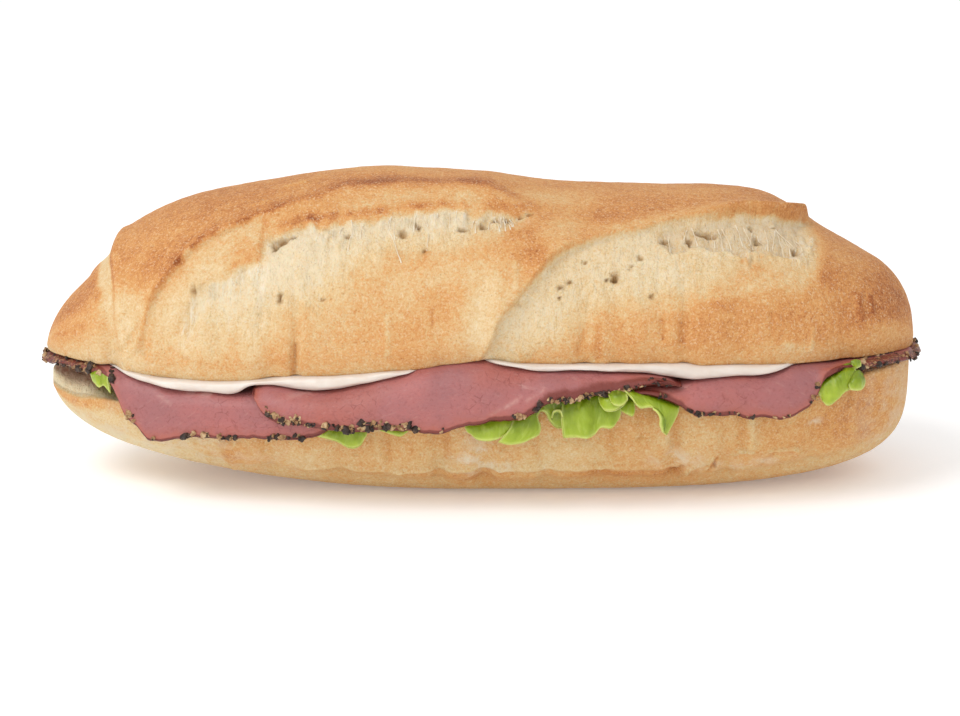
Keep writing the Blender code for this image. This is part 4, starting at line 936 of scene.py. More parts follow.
def thickSheet(middle, thickness, numbers):
    # Both faces of a grid, joined round the rim by a rounded edge of two more rows
    rows, columns = middle.shape[:2]
    out = gridNormals(middle)
    half = np.broadcast_to(np.asarray(thickness) / 2, (rows, columns))[..., None]
    top, under = middle + out * half, middle - out * half
    rim = [(0, j) for j in range(columns)] + [(i, columns - 1) for i in range(1, rows)]
    rim += [(rows - 1, j) for j in range(columns - 2, -1, -1)] + [(i, 0) for i in range(rows - 2, 0, -1)]
    rimRows, rimColumns = np.array(rim).T
    edge = middle[rimRows, rimColumns]
    inner = middle[np.clip(rimRows, 1, rows - 2), np.clip(rimColumns, 1, columns - 2)]
    away = edge - inner
    away = away / np.maximum(np.linalg.norm(away, axis=1, keepdims=True), 1e-6)
    rimHalf, rimOut = half[rimRows, rimColumns], out[rimRows, rimColumns]
    rimLine, rise = edge + away * rimHalf * 0.55, rimOut * rimHalf * 0.6
    bands = [rimLine + rise, rimLine - rise]
    points = np.concatenate([top.reshape(-1, 3), under.reshape(-1, 3), *bands])
    index = np.arange(rows * columns).reshape(rows, columns)
    a, b, c, d = index[:-1, :-1], index[:-1, 1:], index[1:, 1:], index[1:, :-1]
    up = np.stack([a, b, c, d], axis=-1).reshape(-1, 4)
    below = np.stack([d, c, b, a], axis=-1).reshape(-1, 4) + rows * columns
    ring = index[rimRows, rimColumns]
    size = len(ring)
    start = 2 * rows * columns
    loops = [ring, start + np.arange(size), start + size + np.arange(size), ring + rows * columns]
    sides = [np.stack([lower, higher, np.roll(higher, -1), np.roll(lower, -1)], axis=-1)
             for higher, lower in zip(loops[:-1], loops[1:])]
    faces = np.concatenate([up, below, *sides])[:, ::-1]
    spread = {}
    for key, values in numbers.items():
        values = np.asarray(values)
        flatValues = values.reshape(rows * columns, -1)
        edgeValues = values[rimRows, rimColumns].reshape(size, -1)
        joined = np.concatenate([flatValues, flatValues, edgeValues, edgeValues])
        spread[key] = joined if values.ndim == 3 else joined[:, 0]
    return points, faces, spread


def joinSheets(name, sheets, material):
    points = np.concatenate([sheet[0] for sheet in sheets])
    starts = np.cumsum([0] + [len(sheet[0]) for sheet in sheets[:-1]])
    faces = np.concatenate([sheet[1] + start for sheet, start in zip(sheets, starts)])
    numbers = {key: np.concatenate([sheet[2][key] for sheet in sheets]) for key in sheets[0][2]}
    return makeMesh(name, points, faces, material, numbers)


pastramiColours = {
    "rose": (188, 112, 108), "mauve": (170, 108, 108), "coral": (190, 104, 84), "rim": (132, 58, 48),
    "bark": (70, 46, 36), "barkFleck": (196, 158, 112),
    "fat": (222, 178, 168), "fleck": (136, 62, 60),
}


def pastramiMaterial():
    s = Shader("pastrami")
    skin = s.vector("skin")
    rim = s.number("rim")
    fine = s.noise(1500, 4, 0.65)
    grain = s.noise(1.0, 3, 0.6, skin, (420, 1100, 1))
    colour = s.ramp(s.noise(75, 4, 0.6), [(0.34, pastramiColours["mauve"]), (0.62, pastramiColours["rose"])])
    colour = s.over(s.spread(s.noise(48, 3), 0.50, 0.68, 0, 0.45), colour, pastramiColours["coral"])
    colour = s.over(s.spread(grain, 0.56, 0.76, 0, 0.16), colour, pastramiColours["fat"])
    colour = s.over(s.spread(fine, 0.50, 0.30, 0, 0.30), colour, pastramiColours["fleck"])
    fat = s.spread(s.noise(1.0, 4, 0.6, skin, (38, 260, 1)), 0.66, 0.74, 0, 0.42)
    colour = s.over(fat, colour, pastramiColours["fat"])
    streak = s.times(s.number("streak"), s.spread(s.noise(500, 3), 0.3, 0.6))
    colour = s.over(streak, colour, pastramiColours["fat"])
    cracks = s.times(s.spread(s.cells(430, feature="DISTANCE_TO_EDGE"), 0.07, 0.0),
                    s.times(s.spread(s.noise(85, 2), 0.52, 0.62), s.spread(s.noise(900, 2), 0.42, 0.60)))
    colour = s.over(s.times(cracks, 0.6), colour, pastramiColours["fleck"])
    rough = s.times(s.math("SUBTRACT", s.noise(420, 3), 0.5), 0.8)
    blush = s.spread(s.math("ADD", s.number("blush"), rough), 0.1, 1.1, 0, 0.85)
    colour = s.over(blush, colour, pastramiColours["coral"])
    colour = s.over(s.spread(s.math("ADD", rim, rough), 0.25, 0.85), colour, pastramiColours["rim"])
    bark = s.times(s.number("bark"), s.spread(s.noise(900, 2), 0.40, 0.52))
    mottle = s.ramp(s.noise(1700, 2, 0.7), [(0.38, pastramiColours["bark"]), (0.52, pastramiColours["rim"]),
                                            (0.62, pastramiColours["barkFleck"])])
    colour = s.mix(bark, colour, mottle)
    normal = s.raised(fine, 0.00018, 0.8)
    normal = s.raised(grain, 0.0003, 0.6, normal)
    return s.finish(Base_Color=colour, Roughness=0.42, Specular_IOR_Level=0.45, Normal=normal,
                    soft=(0.12, (0.003, 0.0012, 0.0008)))


def slicePath(plan, counts=(14, (20, 26), (14, 10))):
    low, high = plan["reach"]
    seed = plan["seed"]
    x = np.linspace(low, high, round((high - low) / sliceLook["rowGap"]))
    ripple = 0.35 * roughNoise(x / 3.2, 0, 0, seed) + 0.18 * softNoise(x / 1.1, 0, 0, seed + 1)
    drop = plan["faceTop"][0][1] - smoothLine(plan["frontEdge"], x)
    plan = dict(plan)
    front = smoothLine(plan["frontEdge"], x) + ripple * np.clip(drop / 4, 0.1, 1)
    plan["frontEdge"] = list(zip(x, front))
    middle = drapedPath(plan, x, *counts)
    return x, middle


def makeSlice(name, plan):
    seed = plan["seed"]
    x, middle = slicePath(plan)
    steps = np.linalg.norm(np.diff(middle, axis=1), axis=2)
    travel = np.concatenate([np.zeros((len(x), 1)), np.cumsum(steps, axis=1)], axis=1)
    fromRim = np.minimum(travel, travel[:, -1:] - travel)
    fromEnd = np.minimum(x - x[0], x[-1] - x)[:, None]
    fromEdge = np.minimum(fromRim, fromEnd)
    wave = 0.22 * roughNoise(middle[..., 0] / 6, middle[..., 2] / 5, middle[..., 1] / 9, seed + 3)
    middle = middle + gridNormals(middle) * (wave * np.clip(fromEdge / 2, 0.2, 1))[..., None]
    band = smoothLine(plan["rimBand"], x)[:, None]
    rim = np.exp(-((fromRim / band) ** 3))
    for away, wide in zip((x - x[0], x[-1] - x), plan["endBand"]):
        rim = np.maximum(rim, np.exp(-((away / wide) ** 3))[:, None])
    blush = np.exp(-fromEdge / 2.2)
    streak = 0 * fromEdge
    for fromX, fromZ, toX, toZ, wide, amount in plan["streaks"]:
        away = fromSegment(middle[..., 0], middle[..., 2], np.array([fromX, fromZ]), np.array([toX, toZ]))
        streak = np.maximum(streak, amount * bump(away, 0, wide) * (middle[..., 1] < 0))
    place = np.stack([middle[..., 0], travel, 0 * travel], axis=-1) * mm
    leftLong, leftThin, rightLong, rightThin = plan["endThin"]
    thin = ((leftThin + (1 - leftThin) * fade(0, leftLong, x - x[0]))
            * (rightThin + (1 - rightThin) * fade(0, rightLong, x[-1] - x)))
    thickness = sliceLook["thickness"] * (0.72 + 0.2 * np.clip(fromEdge / 2.5, 0, 1)) * thin[:, None]
    bark = np.maximum(1 - fade(-88, -84, middle[..., 0]), fade(80, 84, middle[..., 0])) * fade(0.2, 0.6, rim)
    numbers = {"rim": rim, "blush": blush, "streak": streak, "bark": bark, "skin": place}
    return joinSheets(name, [thickSheet(middle, thickness, numbers)], meatMaterial)


# Cracked pepper and seeds, pressed into the pastrami's rim

grainLook = {"rounds": 2, "dents": 1500, "turn": (0.0, 6.283), "squash": (0.42, 1.2), "pressed": 0.42,
             "least": 0.45, "spread": 0.65, "small": 1.4}
pepper = {
    "kinds": {
        "blackPepper": {
            "size": 0.88, "roughness": 0.18, "seed": 5,
            "colours": [(0.3, (34, 26, 22)), (0.55, (66, 48, 38)), (0.75, (112, 84, 64))],
        },
        "crackedSeeds": {
            "size": 0.74, "roughness": 0.2, "seed": 9,
            "colours": [(0.3, (104, 68, 44)), (0.46, (172, 130, 86)), (0.7, (222, 192, 148))],
        },
    },
    # slice, from and to along it, least and most above its edge, numbers of black and of pale grains, size
    "front": [("left", -100, -84.6, -0.2, 1.3, 50, 56, 1.0), ("left", -82.8, -81.4, 0.4, 2.8, 8, 0, 1.0),
        ("left", -78.6, -76.8, 0.2, 1.4, 1, 5, 1.0), ("left", -74, -70, 0.1, 0.5, 1, 2, 0.7),
        ("left", -65.4, -63, 0.0, 0.7, 5, 2, 1.0), ("left", -61.2, -56, 0.0, 0.6, 2, 6, 1.0),
        ("left", -56.4, -53.6, -0.1, 0.8, 4, 3, 1.0), ("left", -48.4, -38, 0.0, 0.8, 8, 5, 1.0),
        ("middle", -46.6, -39.0, 0.0, 1.8, 13, 34, 0.85), ("middle", -38.5, -34.5, 0.0, 0.5, 2, 2, 1.0),
        ("middle", -34, -27.6, 0.0, 1.1, 10, 13, 1.0), ("middle", -26.4, -15, 0.1, 1.8, 17, 28, 1.0),
        ("middle", -14.6, -12.6, 0.2, 0.8, 2, 1, 1.0), ("middle", -9.2, -8, 0.2, 0.7, 1, 1, 1.0),
        ("middle", 7.4, 9.8, 0.3, 1.2, 1, 4, 1.0), ("middle", 11.6, 15.6, 0.2, 0.9, 4, 3, 1.0),
        ("middle", 15.5, 33, -0.4, 0.6, 24, 64, 0.8), ("middle", 33, 42, -0.1, 0.3, 12, 2, 0.6),
        ("right", 37, 42, 0.0, 0.5, 4, 2, 0.55), ("right", 45.3, 52.6, 0.0, 0.5, 20, 3, 0.6),
        ("right", 54.6, 60.6, 0.0, 0.4, 8, 2, 0.5), ("right", 63, 69, 0.0, 0.4, 2, 3, 0.6),
        ("right", 72.4, 74.8, 0.3, 1.6, 2, 3, 1.0), ("right", 83.6, 100.6, -0.2, 1.2, 46, 36, 1.0)],
    "back": [("left", -98, -84, -0.2, 1.0, 12, 16, 1.0), ("left", -76, -66, 0.0, 0.7, 6, 9, 0.9),
        ("left", -60, -44, 0.0, 0.6, 9, 12, 0.9), ("middle", -45, -34, 0.0, 1.4, 9, 14, 0.9),
        ("middle", -22, -4, 0.0, 0.8, 12, 18, 0.9), ("middle", 6, 20, 0.0, 0.7, 9, 12, 0.9),
        ("right", 46, 58, 0.0, 0.6, 9, 8, 0.8), ("right", 64, 76, 0.0, 0.6, 5, 8, 0.8),
        ("right", 84, 99, -0.2, 1.0, 14, 14, 1.0)],
}


def hangingFace(path, x, above, side):
    # The outer face of a slice's hanging front or back, a little above its edge
    column = int(np.argmin(np.abs(path[0] - x)))
    row = path[1][column, -40:] if side == "front" else path[1][column, 39::-1]
    i = int(np.argmin(np.abs(row[:, 2] - (row[-1, 2] + above))))
    ahead = row[min(i + 1, 39)] - row[max(i - 1, 0)]
    out = np.array([0, ahead[2], -ahead[1]]) / np.hypot(ahead[1], ahead[2])
    out = out * (1 if side == "front" else -1)
    return np.array([x, row[i, 1], row[i, 2] + min(above, 0)]) + out * sliceLook["thickness"] * grainLook["pressed"]


def grainTree(material):
    # A rough ball of eighty faces on every given point, each turned and squashed its own way
    tree = Growth("grains", (("Grain Size", "Float"), ("Roughness", "Float"), ("Seed", "Int")))
    given = tree.given
    ball = tree.add("GeometryNodeMeshIcoSphere", {"Subdivisions": grainLook["rounds"],
                                                   "Radius": given["Grain Size"]}).outputs["Mesh"]
    turn, squash = (tree.add("FunctionNodeRandomValue", {0: (low,) * 3, 1: (high,) * 3, "Seed": given["Seed"]},
                             data_type="FLOAT_VECTOR").outputs[0]
                    for low, high in (grainLook["turn"], grainLook["squash"]))
    size = tree.add("GeometryNodeInputNamedAttribute", {"Name": "size"}, data_type="FLOAT").outputs[0]
    scale = tree.add("ShaderNodeVectorMath", {0: squash, "Scale": size}, operation="SCALE").outputs[0]
    place = tree.add("GeometryNodeInstanceOnPoints", {"Points": given["Geometry"], "Instance": ball,
                                                      "Rotation": turn, "Scale": scale}).outputs["Instances"]
    amount = tree.times(given["Grain Size"], given["Roughness"])
    return tree.done(tree.shaken(tree.real(place), grainLook["dents"], amount), material)


def makeGrains(name):
    kind = pepper["kinds"][name]
    rng = np.random.default_rng(kind["seed"])
    column = 5 + list(pepper["kinds"]).index(name)
    paths = {side: slicePath(plan, (6, (24, 16), (24, 16))) for side, plan in slices.items()}
    points, sizes = [], []
    for side in ("front", "back"):
        for band in pepper[side]:
            for _ in range(band[column]):
                x = rng.uniform(band[1], band[2])
                points.append(hangingFace(paths[band[0]], x, rng.uniform(band[3], band[4]), side))
                share = grainLook["least"] + grainLook["spread"] * rng.uniform(0, 1) ** grainLook["small"]
                sizes.append(band[7] * share)
    s = Shader(name)
    colour = s.ramp(s.noise(700, 3), kind["colours"])
    normal = s.raised(s.noise(3000, 2), 0.0001)
    material = s.finish(Base_Color=colour, Roughness=0.5, Specular_IOR_Level=0.4, Normal=normal)
    mesh = barePoints(name, points)
    mesh.attributes.new("size", "FLOAT", "POINT").data.foreach_set("value", np.array(sizes, np.float32))
    obj = inScene(name, mesh)
    return grownBy(obj, grainTree(material), {"Grain Size": kind["size"] * mm, "Roughness": kind["roughness"] * 10,
                                              "Seed": kind["seed"]})


# Lettuce

# deep mostly paints the shade toward the pastrami, and edge paints the paler leaf margins with a highlight on them
leafColours = {"deep": (88, 112, 2), "mid": (138, 160, 20), "bright": (176, 196, 50), "edge": (222, 232, 132),
               "vein": (186, 202, 84)}
leafLook = {"thickness": 0.5, "along": 64, "down": 34, "bedRows": 50, "bedColumns": 40, "bedThin": 0.8,
            "rimReach": 3.0, "paleEdge": 0.42}

# Each patch is rows of (along, up, out from the crust) from under the pastrami down to the frilled edge
frills = {
    "left": {
        "bed": (-80.0, -12.0), "height": 0.5, "ripple": 0.28,
        "patches": {
            "small": [
                [(-35.7, 19.0, 1.0), (-32.6, 19.3, 1.4), (-29.6, 19.6, 1.2), (-27.2, 19.6, 1.6), (-24.3, 19.4, 1.2)],
                [(-36.4, 18.0, 1.2), (-32.0, 17.4, 2.0), (-29.3, 17.2, 1.5), (-27.0, 17.3, 2.2), (-24.6, 18.1, 1.6)],
                [(-37.0, 17.2, 1.2), (-31.6, 16.2, 2.3), (-28.6, 14.6, 1.9), (-26.2, 15.3, 2.7), (-24.9, 17.3, 1.8)],
            ],
            "second": [
                [(-22.2, 19.6, 1.2), (-20.0, 19.7, 1.5), (-17.8, 19.8, 1.5), (-15.4, 19.6, 1.2)],
                [(-22.0, 18.9, 1.4), (-19.6, 18.6, 1.9), (-17.4, 18.4, 2.0), (-15.6, 18.6, 1.5)],
                [(-21.3, 18.4, 1.4), (-19.1, 17.9, 2.1), (-17.4, 17.5, 2.3), (-15.9, 18.2, 1.7)],
            ],
        },
        "folded": {
            "tip": [
                [(-84.0, 23.4, -9.0), (-82.5, 23.4, -9.0), (-81.0, 23.2, -9.0), (-79.5, 23.0, -9.0)],
                [(-87.0, 27.4, -1.0), (-85.6, 27.8, -0.8), (-84.2, 27.8, -0.6), (-82.8, 27.4, -0.4)],
                [(-87.0, 27.3, 1.6), (-85.6, 27.8, 2.2), (-84.2, 27.7, 2.0), (-82.7, 27.2, 2.0)],
                [(-86.7, 26.4, 2.2), (-85.2, 26.4, 3.0), (-84.0, 26.5, 2.4), (-82.6, 26.2, 2.4)],
                [(-86.2, 25.4, 1.8), (-85.0, 24.8, 2.7), (-83.8, 25.1, 2.1), (-82.4, 23.6, 2.0)],
            ],
        },
    },
    "middle": {
        "bed": (-8.0, 46.0), "height": 0.75, "ripple": 0.22,
        "patches": {
            "first": [
                [(-2.8, 20.8, 1.6), (-0.3, 21.5, 1.8), (2.1, 21.9, 1.8), (4.9, 22.3, 1.8), (7.4, 22.4, 1.6)],
                [(-3.0, 19.4, 2.2), (-0.6, 19.3, 3.0), (1.8, 19.3, 3.5), (4.6, 19.6, 3.4), (7.2, 20.5, 2.8)],
                [(-2.2, 18.3, 2.2), (-0.5, 17.2, 3.3), (1.7, 17.1, 4.2), (4.0, 17.5, 4.0), (6.2, 18.7, 3.2)],
            ],
            "second": [
                [(7.9, 22.4, 1.8), (9.2, 22.8, 2.0), (10.5, 23.1, 2.0), (11.7, 23.4, 1.8), (12.7, 23.6, 1.5)],
                [(7.0, 20.3, 3.2), (8.5, 20.3, 3.2), (10.1, 20.6, 3.1), (11.7, 21.0, 2.7), (12.7, 21.4, 2.0)],
                [(6.0, 18.9, 4.0), (8.2, 18.5, 3.9), (10.1, 18.8, 3.7), (11.7, 19.1, 3.1), (13.3, 19.9, 2.6)],
                [(4.1, 17.0, 4.8), (6.3, 16.4, 4.7), (8.9, 16.6, 4.4), (11.1, 17.3, 3.7), (13.0, 18.1, 2.8)],
            ],
            "arch": [
                [(12.4, 24.3, 1.4), (13.7, 24.4, 1.3), (15.0, 24.5, 1.2), (16.2, 24.5, 1.2), (18.1, 24.6, 1.4),
                 (19.4, 24.6, 1.4)],
                [(12.4, 23.3, 1.7), (13.5, 23.8, 1.5), (15.0, 23.4, 1.3), (16.2, 22.6, 1.3), (17.8, 22.0, 1.5),
                 (19.1, 21.6, 1.6)],
                [(12.6, 21.8, 2.3), (13.2, 23.0, 1.9), (14.3, 22.8, 1.5), (15.3, 20.9, 1.4), (16.7, 19.4, 1.6),
                 (18.8, 19.2, 1.9)],
            ],
            "broad": [
                [(18.1, 25.1, 2.0), (20.4, 25.4, 2.1), (22.7, 25.8, 2.3), (24.8, 25.9, 2.0), (26.8, 26.0, 1.8),
                 (29.0, 25.9, 1.7), (30.9, 25.6, 1.6)],
                [(17.8, 23.1, 3.4), (20.3, 23.0, 3.2), (22.9, 23.5, 4.1), (24.8, 23.2, 3.2), (26.7, 23.5, 2.9),
                 (29.0, 23.7, 2.6), (30.9, 23.9, 2.2)],
                [(18.0, 20.5, 4.1), (20.5, 20.3, 3.8), (22.9, 20.7, 5.0), (25.0, 20.7, 3.8), (26.9, 21.4, 3.4),
                 (29.0, 22.0, 3.2), (30.8, 23.0, 2.5)],
                [(18.3, 17.9, 4.6), (21.0, 17.9, 4.2), (23.4, 18.0, 5.4), (25.1, 18.6, 4.3), (26.4, 19.9, 3.8),
                 (28.7, 19.8, 3.7), (30.3, 21.3, 2.8)],
            ],
            "cup": [
                [(26.1, 27.2, 1.0), (27.1, 27.5, 1.1), (28.6, 27.8, 1.2), (30.1, 27.9, 1.2), (31.6, 27.9, 1.1)],
                [(26.0, 26.3, 2.8), (27.1, 26.4, 4.0), (28.7, 26.6, 4.4), (30.4, 26.8, 4.2), (31.8, 27.2, 3.6)],
                [(26.4, 25.0, 3.8), (27.4, 24.1, 5.2), (29.3, 24.3, 5.8), (31.1, 25.2, 5.4), (32.1, 26.2, 4.4)],
            ],
            "pocket": [
                [(30.6, 25.1, 2.2), (31.9, 25.3, 2.6), (33.0, 25.4, 2.8), (33.6, 25.2, 2.6)],
                [(30.4, 23.9, 2.4), (31.7, 24.2, 3.3), (32.9, 24.2, 3.5), (33.8, 24.2, 2.9)],
                [(30.8, 23.5, 2.6), (32.1, 22.9, 3.7), (33.2, 22.5, 3.9), (33.8, 23.3, 3.1)],
            ],
            "strap": [
                [(31.4, 28.2, 1.1), (33.7, 27.9, 1.2), (36.3, 27.2, 1.2), (38.9, 26.2, 1.3), (41.2, 25.1, 1.4),
                 (43.5, 24.0, 1.2)],
                [(31.7, 28.1, 4.4), (34.1, 27.2, 4.0), (36.7, 26.2, 3.6), (39.3, 25.1, 3.8), (41.4, 24.1, 3.4),
                 (43.4, 23.6, 2.4)],
                [(32.8, 27.1, 4.9), (34.5, 25.7, 4.6), (37.0, 25.4, 4.2), (39.6, 23.5, 4.6), (41.3, 22.3, 4.0),
                 (42.8, 21.8, 2.9)],
                [(33.8, 25.7, 5.1), (34.9, 24.6, 5.0), (37.5, 24.6, 4.8), (39.3, 22.5, 5.2), (39.5, 19.8, 5.2),
                 (40.7, 18.2, 4.2)],
            ],
        },
        "folded": {
            "curl": [
                [(15.8, 21.5, 2.4), (16.2, 22.5, 2.4), (16.9, 22.9, 2.6), (17.6, 22.6, 3.0), (17.8, 21.8, 3.3)],
                [(15.8, 22.4, 2.6), (16.0, 23.4, 2.8), (16.8, 23.9, 3.2), (17.6, 23.8, 3.8), (18.0, 22.7, 4.2)],
            ],
            "cupLining": [
                [(27.9, 27.6, 3.4), (29.0, 28.0, 3.8), (30.2, 28.2, 4.0), (31.4, 28.0, 3.6)],
                [(28.2, 27.2, 5.0), (29.1, 27.4, 5.8), (30.4, 27.4, 5.9), (31.9, 27.5, 5.3)],
                [(28.6, 26.1, 5.7), (29.5, 25.6, 6.4), (30.9, 25.7, 6.4), (32.0, 26.6, 5.6)],
            ],
            "strapCurl": [
                [(37.7, 24.6, 4.9), (38.7, 24.1, 5.2), (39.9, 22.7, 5.5), (40.3, 21.3, 5.6), (40.1, 19.3, 5.2)],
                [(37.8, 24.7, 5.6), (38.6, 23.9, 6.2), (39.2, 22.5, 6.4), (39.2, 21.0, 6.3), (39.8, 19.3, 5.6)],
            ],
        },
    },
    "right": {
        "bed": (70.0, 82.0), "height": 0.75, "ripple": 0.42,
        "patches": {
            "face": [
                [(74.0, 27.4, 1.0), (76.2, 28.8, 1.0), (78.4, 29.8, 1.1), (80.6, 30.6, 1.1), (82.6, 30.8, 0.8)],
                [(74.2, 26.9, 2.2), (76.4, 28.1, 2.8), (78.6, 29.3, 3.0), (80.8, 30.2, 3.2), (82.8, 30.4, 2.6)],
                [(74.6, 25.8, 2.6), (76.7, 26.2, 3.6), (78.8, 27.4, 4.2), (81.0, 28.6, 4.2), (83.2, 29.2, 3.2)],
                [(75.2, 24.3, 2.4), (76.8, 23.2, 3.4), (78.6, 24.4, 4.2), (80.6, 26.2, 4.2), (83.0, 26.8, 3.4)],
            ],
        },
        "folded": {
            "curl": [
                [(81.0, 28.6, 3.4), (82.2, 29.8, 3.4), (83.4, 30.3, 3.2), (84.4, 29.4, 2.8)],
                [(81.2, 27.6, 4.4), (82.4, 28.6, 4.9), (83.8, 28.8, 4.7), (84.9, 28.0, 3.8)],
                [(81.4, 26.7, 4.4), (82.6, 26.5, 4.9), (83.9, 26.5, 4.8), (84.7, 26.9, 3.9)],
            ],
            "high": [
                [(81.9, 32.2, 1.8), (82.8, 32.5, 2.2), (83.9, 32.2, 1.9)],
                [(82.1, 31.7, 2.2), (82.9, 31.8, 2.8), (84.0, 31.6, 2.4)],
                [(82.5, 30.9, 2.2), (83.0, 30.7, 2.8), (83.9, 31.0, 2.3)],
            ],
        },
    },
}


def smoothRow(points, count):
    # An even smooth run of count points through the given ones
    points = np.asarray(points, float)
    last = len(points) - 1
    before, after = 2 * points[0] - points[1], 2 * points[-1] - points[-2]
    full = np.concatenate([[before], points, [after]])
    t = np.linspace(0, last, count)
    i = np.minimum(t.astype(int), last - 1)
    u = (t - i).reshape((-1,) + (1,) * (points.ndim - 1))
    a, b, c, d = full[i], full[i + 1], full[i + 2], full[i + 3]
    return 0.5 * (2 * b + (c - a) * u + (2 * a - 5 * b + 4 * c - d) * u**2 + (3 * b - a - 3 * c + d) * u**3)


def leafSheet(rows, folded, plan, seed):
    rows = np.array(rows)
    x, up, out = rows[..., 0], rows[..., 1], rows[..., 2]
    grid = np.stack([x, -baseHalfDepth(x, out), up], axis=-1)
    if not folded:
        # Over the base's rim and onto its cut face, where the leaf lies flat under the pastrami
        top = x[0]
        rim = baseCut(top, -baseHalfDepth(top))
        over = np.stack([top, -baseHalfDepth(top, 0.9), np.maximum(rim + 0.2, up[0] + 0.5)], axis=-1)
        lying = np.stack([top, -baseHalfDepth(top) + leafLook["rimReach"], rim + plan["height"]], axis=-1)
        grid = np.concatenate([[lying], [over], grid])
    grid = smoothRow(grid, leafLook["down"])
    grid = smoothRow(grid.swapaxes(0, 1), leafLook["along"]).swapaxes(0, 1)
    low = np.linspace(0, 1, leafLook["down"])[:, None] + 0 * grid[..., 0]
    ripple = roughNoise(grid[..., 0] / 1.5, grid[..., 2] / 2.2, 0, seed) * plan["ripple"]
    grid = grid + gridNormals(grid) * (ripple * fade(0.3, 0.8, low))[..., None]
    downward, across = (np.linalg.norm(np.diff(grid, axis=axis), axis=2) for axis in (0, 1))
    steps = np.concatenate([downward[::-1].cumsum(axis=0)[::-1], 0 * grid[:1, :, 0]])
    sideways = np.concatenate([0 * grid[:, :1, 0], across.cumsum(axis=1)], axis=1)
    fromSide = np.minimum(sideways, sideways[:, -1:] - sideways)
    # pale along the frilled edge: partly the leaf's paler margin, partly a painted highlight
    edge = np.exp(-((np.minimum(steps, fromSide + 0.15) / leafLook["paleEdge"]) ** 2)) * fade(0.35, 0.5, low)
    # painted shade: darker toward the top of each leaf, under the pastrami, and brighter toward the hanging edge, with
    # random tone on top
    shadeAndTone = 0.35 + 0.5 * fade(0.3, 1.0, low) + 0.22 * roughNoise(grid[..., 0] / 2.6, grid[..., 2] / 2.6, 1, seed + 3)
    place = np.stack([sideways, steps, 0 * steps + seed * 20], axis=-1) * mm
    thickness = leafLook["thickness"] * (0.6 + 0.4 * np.clip(steps / 0.8, 0, 1))
    numbers = {key: values[:, ::-1] for key, values in (("edge", edge), ("shadeAndTone", shadeAndTone), ("skin", place))}
    return thickSheet(grid[:, ::-1], thickness, numbers)


def leafBed(plan, seed):
    # The part of the leaf that lies on the base
    low, high = plan["bed"]
    x, share = np.meshgrid(np.linspace(low, high, leafLook["bedRows"]),
                           np.linspace(0.9, -0.96, leafLook["bedColumns"]), indexing="ij")
    y = share * (baseHalfDepth(x) - 0.8)
    wave = 0.15 * softNoise(x / 4, y / 6, 0, seed)
    grid = np.stack([x, y, baseCut(x, y) + plan["height"] + wave], axis=-1)
    flat = 0 * x
    edge = np.exp(-(np.minimum(x - low, high - x) / 0.5) ** 2)
    place = np.stack([x, y + 60, flat], axis=-1) * mm
    thickness = leafLook["thickness"] * leafLook["bedThin"]
    # the bed under the pastrami keeps a darker tone, as painted shade
    return thickSheet(grid, thickness, {"edge": edge, "shadeAndTone": flat + 0.4, "skin": place})


def leafMaterial():
    s = Shader("lettuce")
    skin = s.vector("skin")
    # the tone number carries painted shade as well as the leaf's own varying tone
    level = s.math("ADD", s.number("shadeAndTone"), s.times(s.math("SUBTRACT", s.noise(240, 4, 0.6), 0.5), 0.5))
    colour = s.ramp(level, [(0.1, leafColours["deep"]), (0.5, leafColours["mid"]), (0.95, leafColours["bright"])])
    veins = s.spread(s.noise(1.0, 3, 0.5, skin, (900, 260, 1)), 0.56, 0.70, 0, 0.45)
    colour = s.over(veins, colour, leafColours["vein"])
    # the edge colour is partly the leaf's paler margin and partly a painted highlight
    colour = s.over(s.times(s.number("edge"), 0.9), colour, leafColours["edge"])
    blister = s.noise(420, 3, 0.5)
    normal = s.raised(blister, 0.0004, 0.6)
    normal = s.raised(s.noise(1.0, 3, 0.5, skin, (900, 260, 1)), 0.0004, 0.7, normal)
    return s.finish(Base_Color=colour, Roughness=0.36, Specular_IOR_Level=0.45, Normal=normal,
                    soft=(0.35, (0.0015, 0.002, 0.0004)))


def makeLeaf(name, plan, seed):
    sheets = [leafBed(plan, seed)]
    for i, rows in enumerate(plan["patches"].values()):
        sheets.append(leafSheet(rows, False, plan, seed + 2 + i))
    for i, rows in enumerate(plan["folded"].values()):
        sheets.append(leafSheet(rows, True, plan, seed + 20 + i))
    return joinSheets(name, sheets, lettuceMaterial)


# White cream

creamLook = {
    "reach": (-85.0, 82.0), "columns": 9, "clearance": 0.06, "least": 0.4, "face": 1.4, "stations": 260,
    "faceRows": 14, "bulge": 0.9,
    "setback": [(-85, 5), (-81, 1.5), (-78, 0), (-17, 0), (-13.5, 2), (-11, 11), (-3, 11), (0.5, 4), (4, 0), (65, 0),
        (68, 1.0), (70.5, 3.5), (82, 6)],
    "backSetback": [(-85, 8.0), (-60, 2.0), (-20, 3.5), (20, 1.5), (55, 3.0), (82, 8.0)],
}


def highestSlice(x, y):
    top = np.full(len(y), -1.0)
    for plan in slices.values():
        low, high = plan["reach"]
        if low - 2 < x < high + 2:
            row = drapedPath(plan, np.array([np.clip(x, low, high)]), 15, (10, 8), (5, 3))[0]
            ahead = np.gradient(row, axis=0)
            lift = np.stack([ahead[:, 2], -ahead[:, 1]], axis=1)
            lift *= sliceLook["thickness"] / 2 / np.linalg.norm(lift, axis=1, keepdims=True)
            outer = row[:, 1:] + lift
            order = np.argsort(outer[:, 0])
            top = np.maximum(top, np.interp(y, outer[order, 0], outer[order, 1]))
    return top


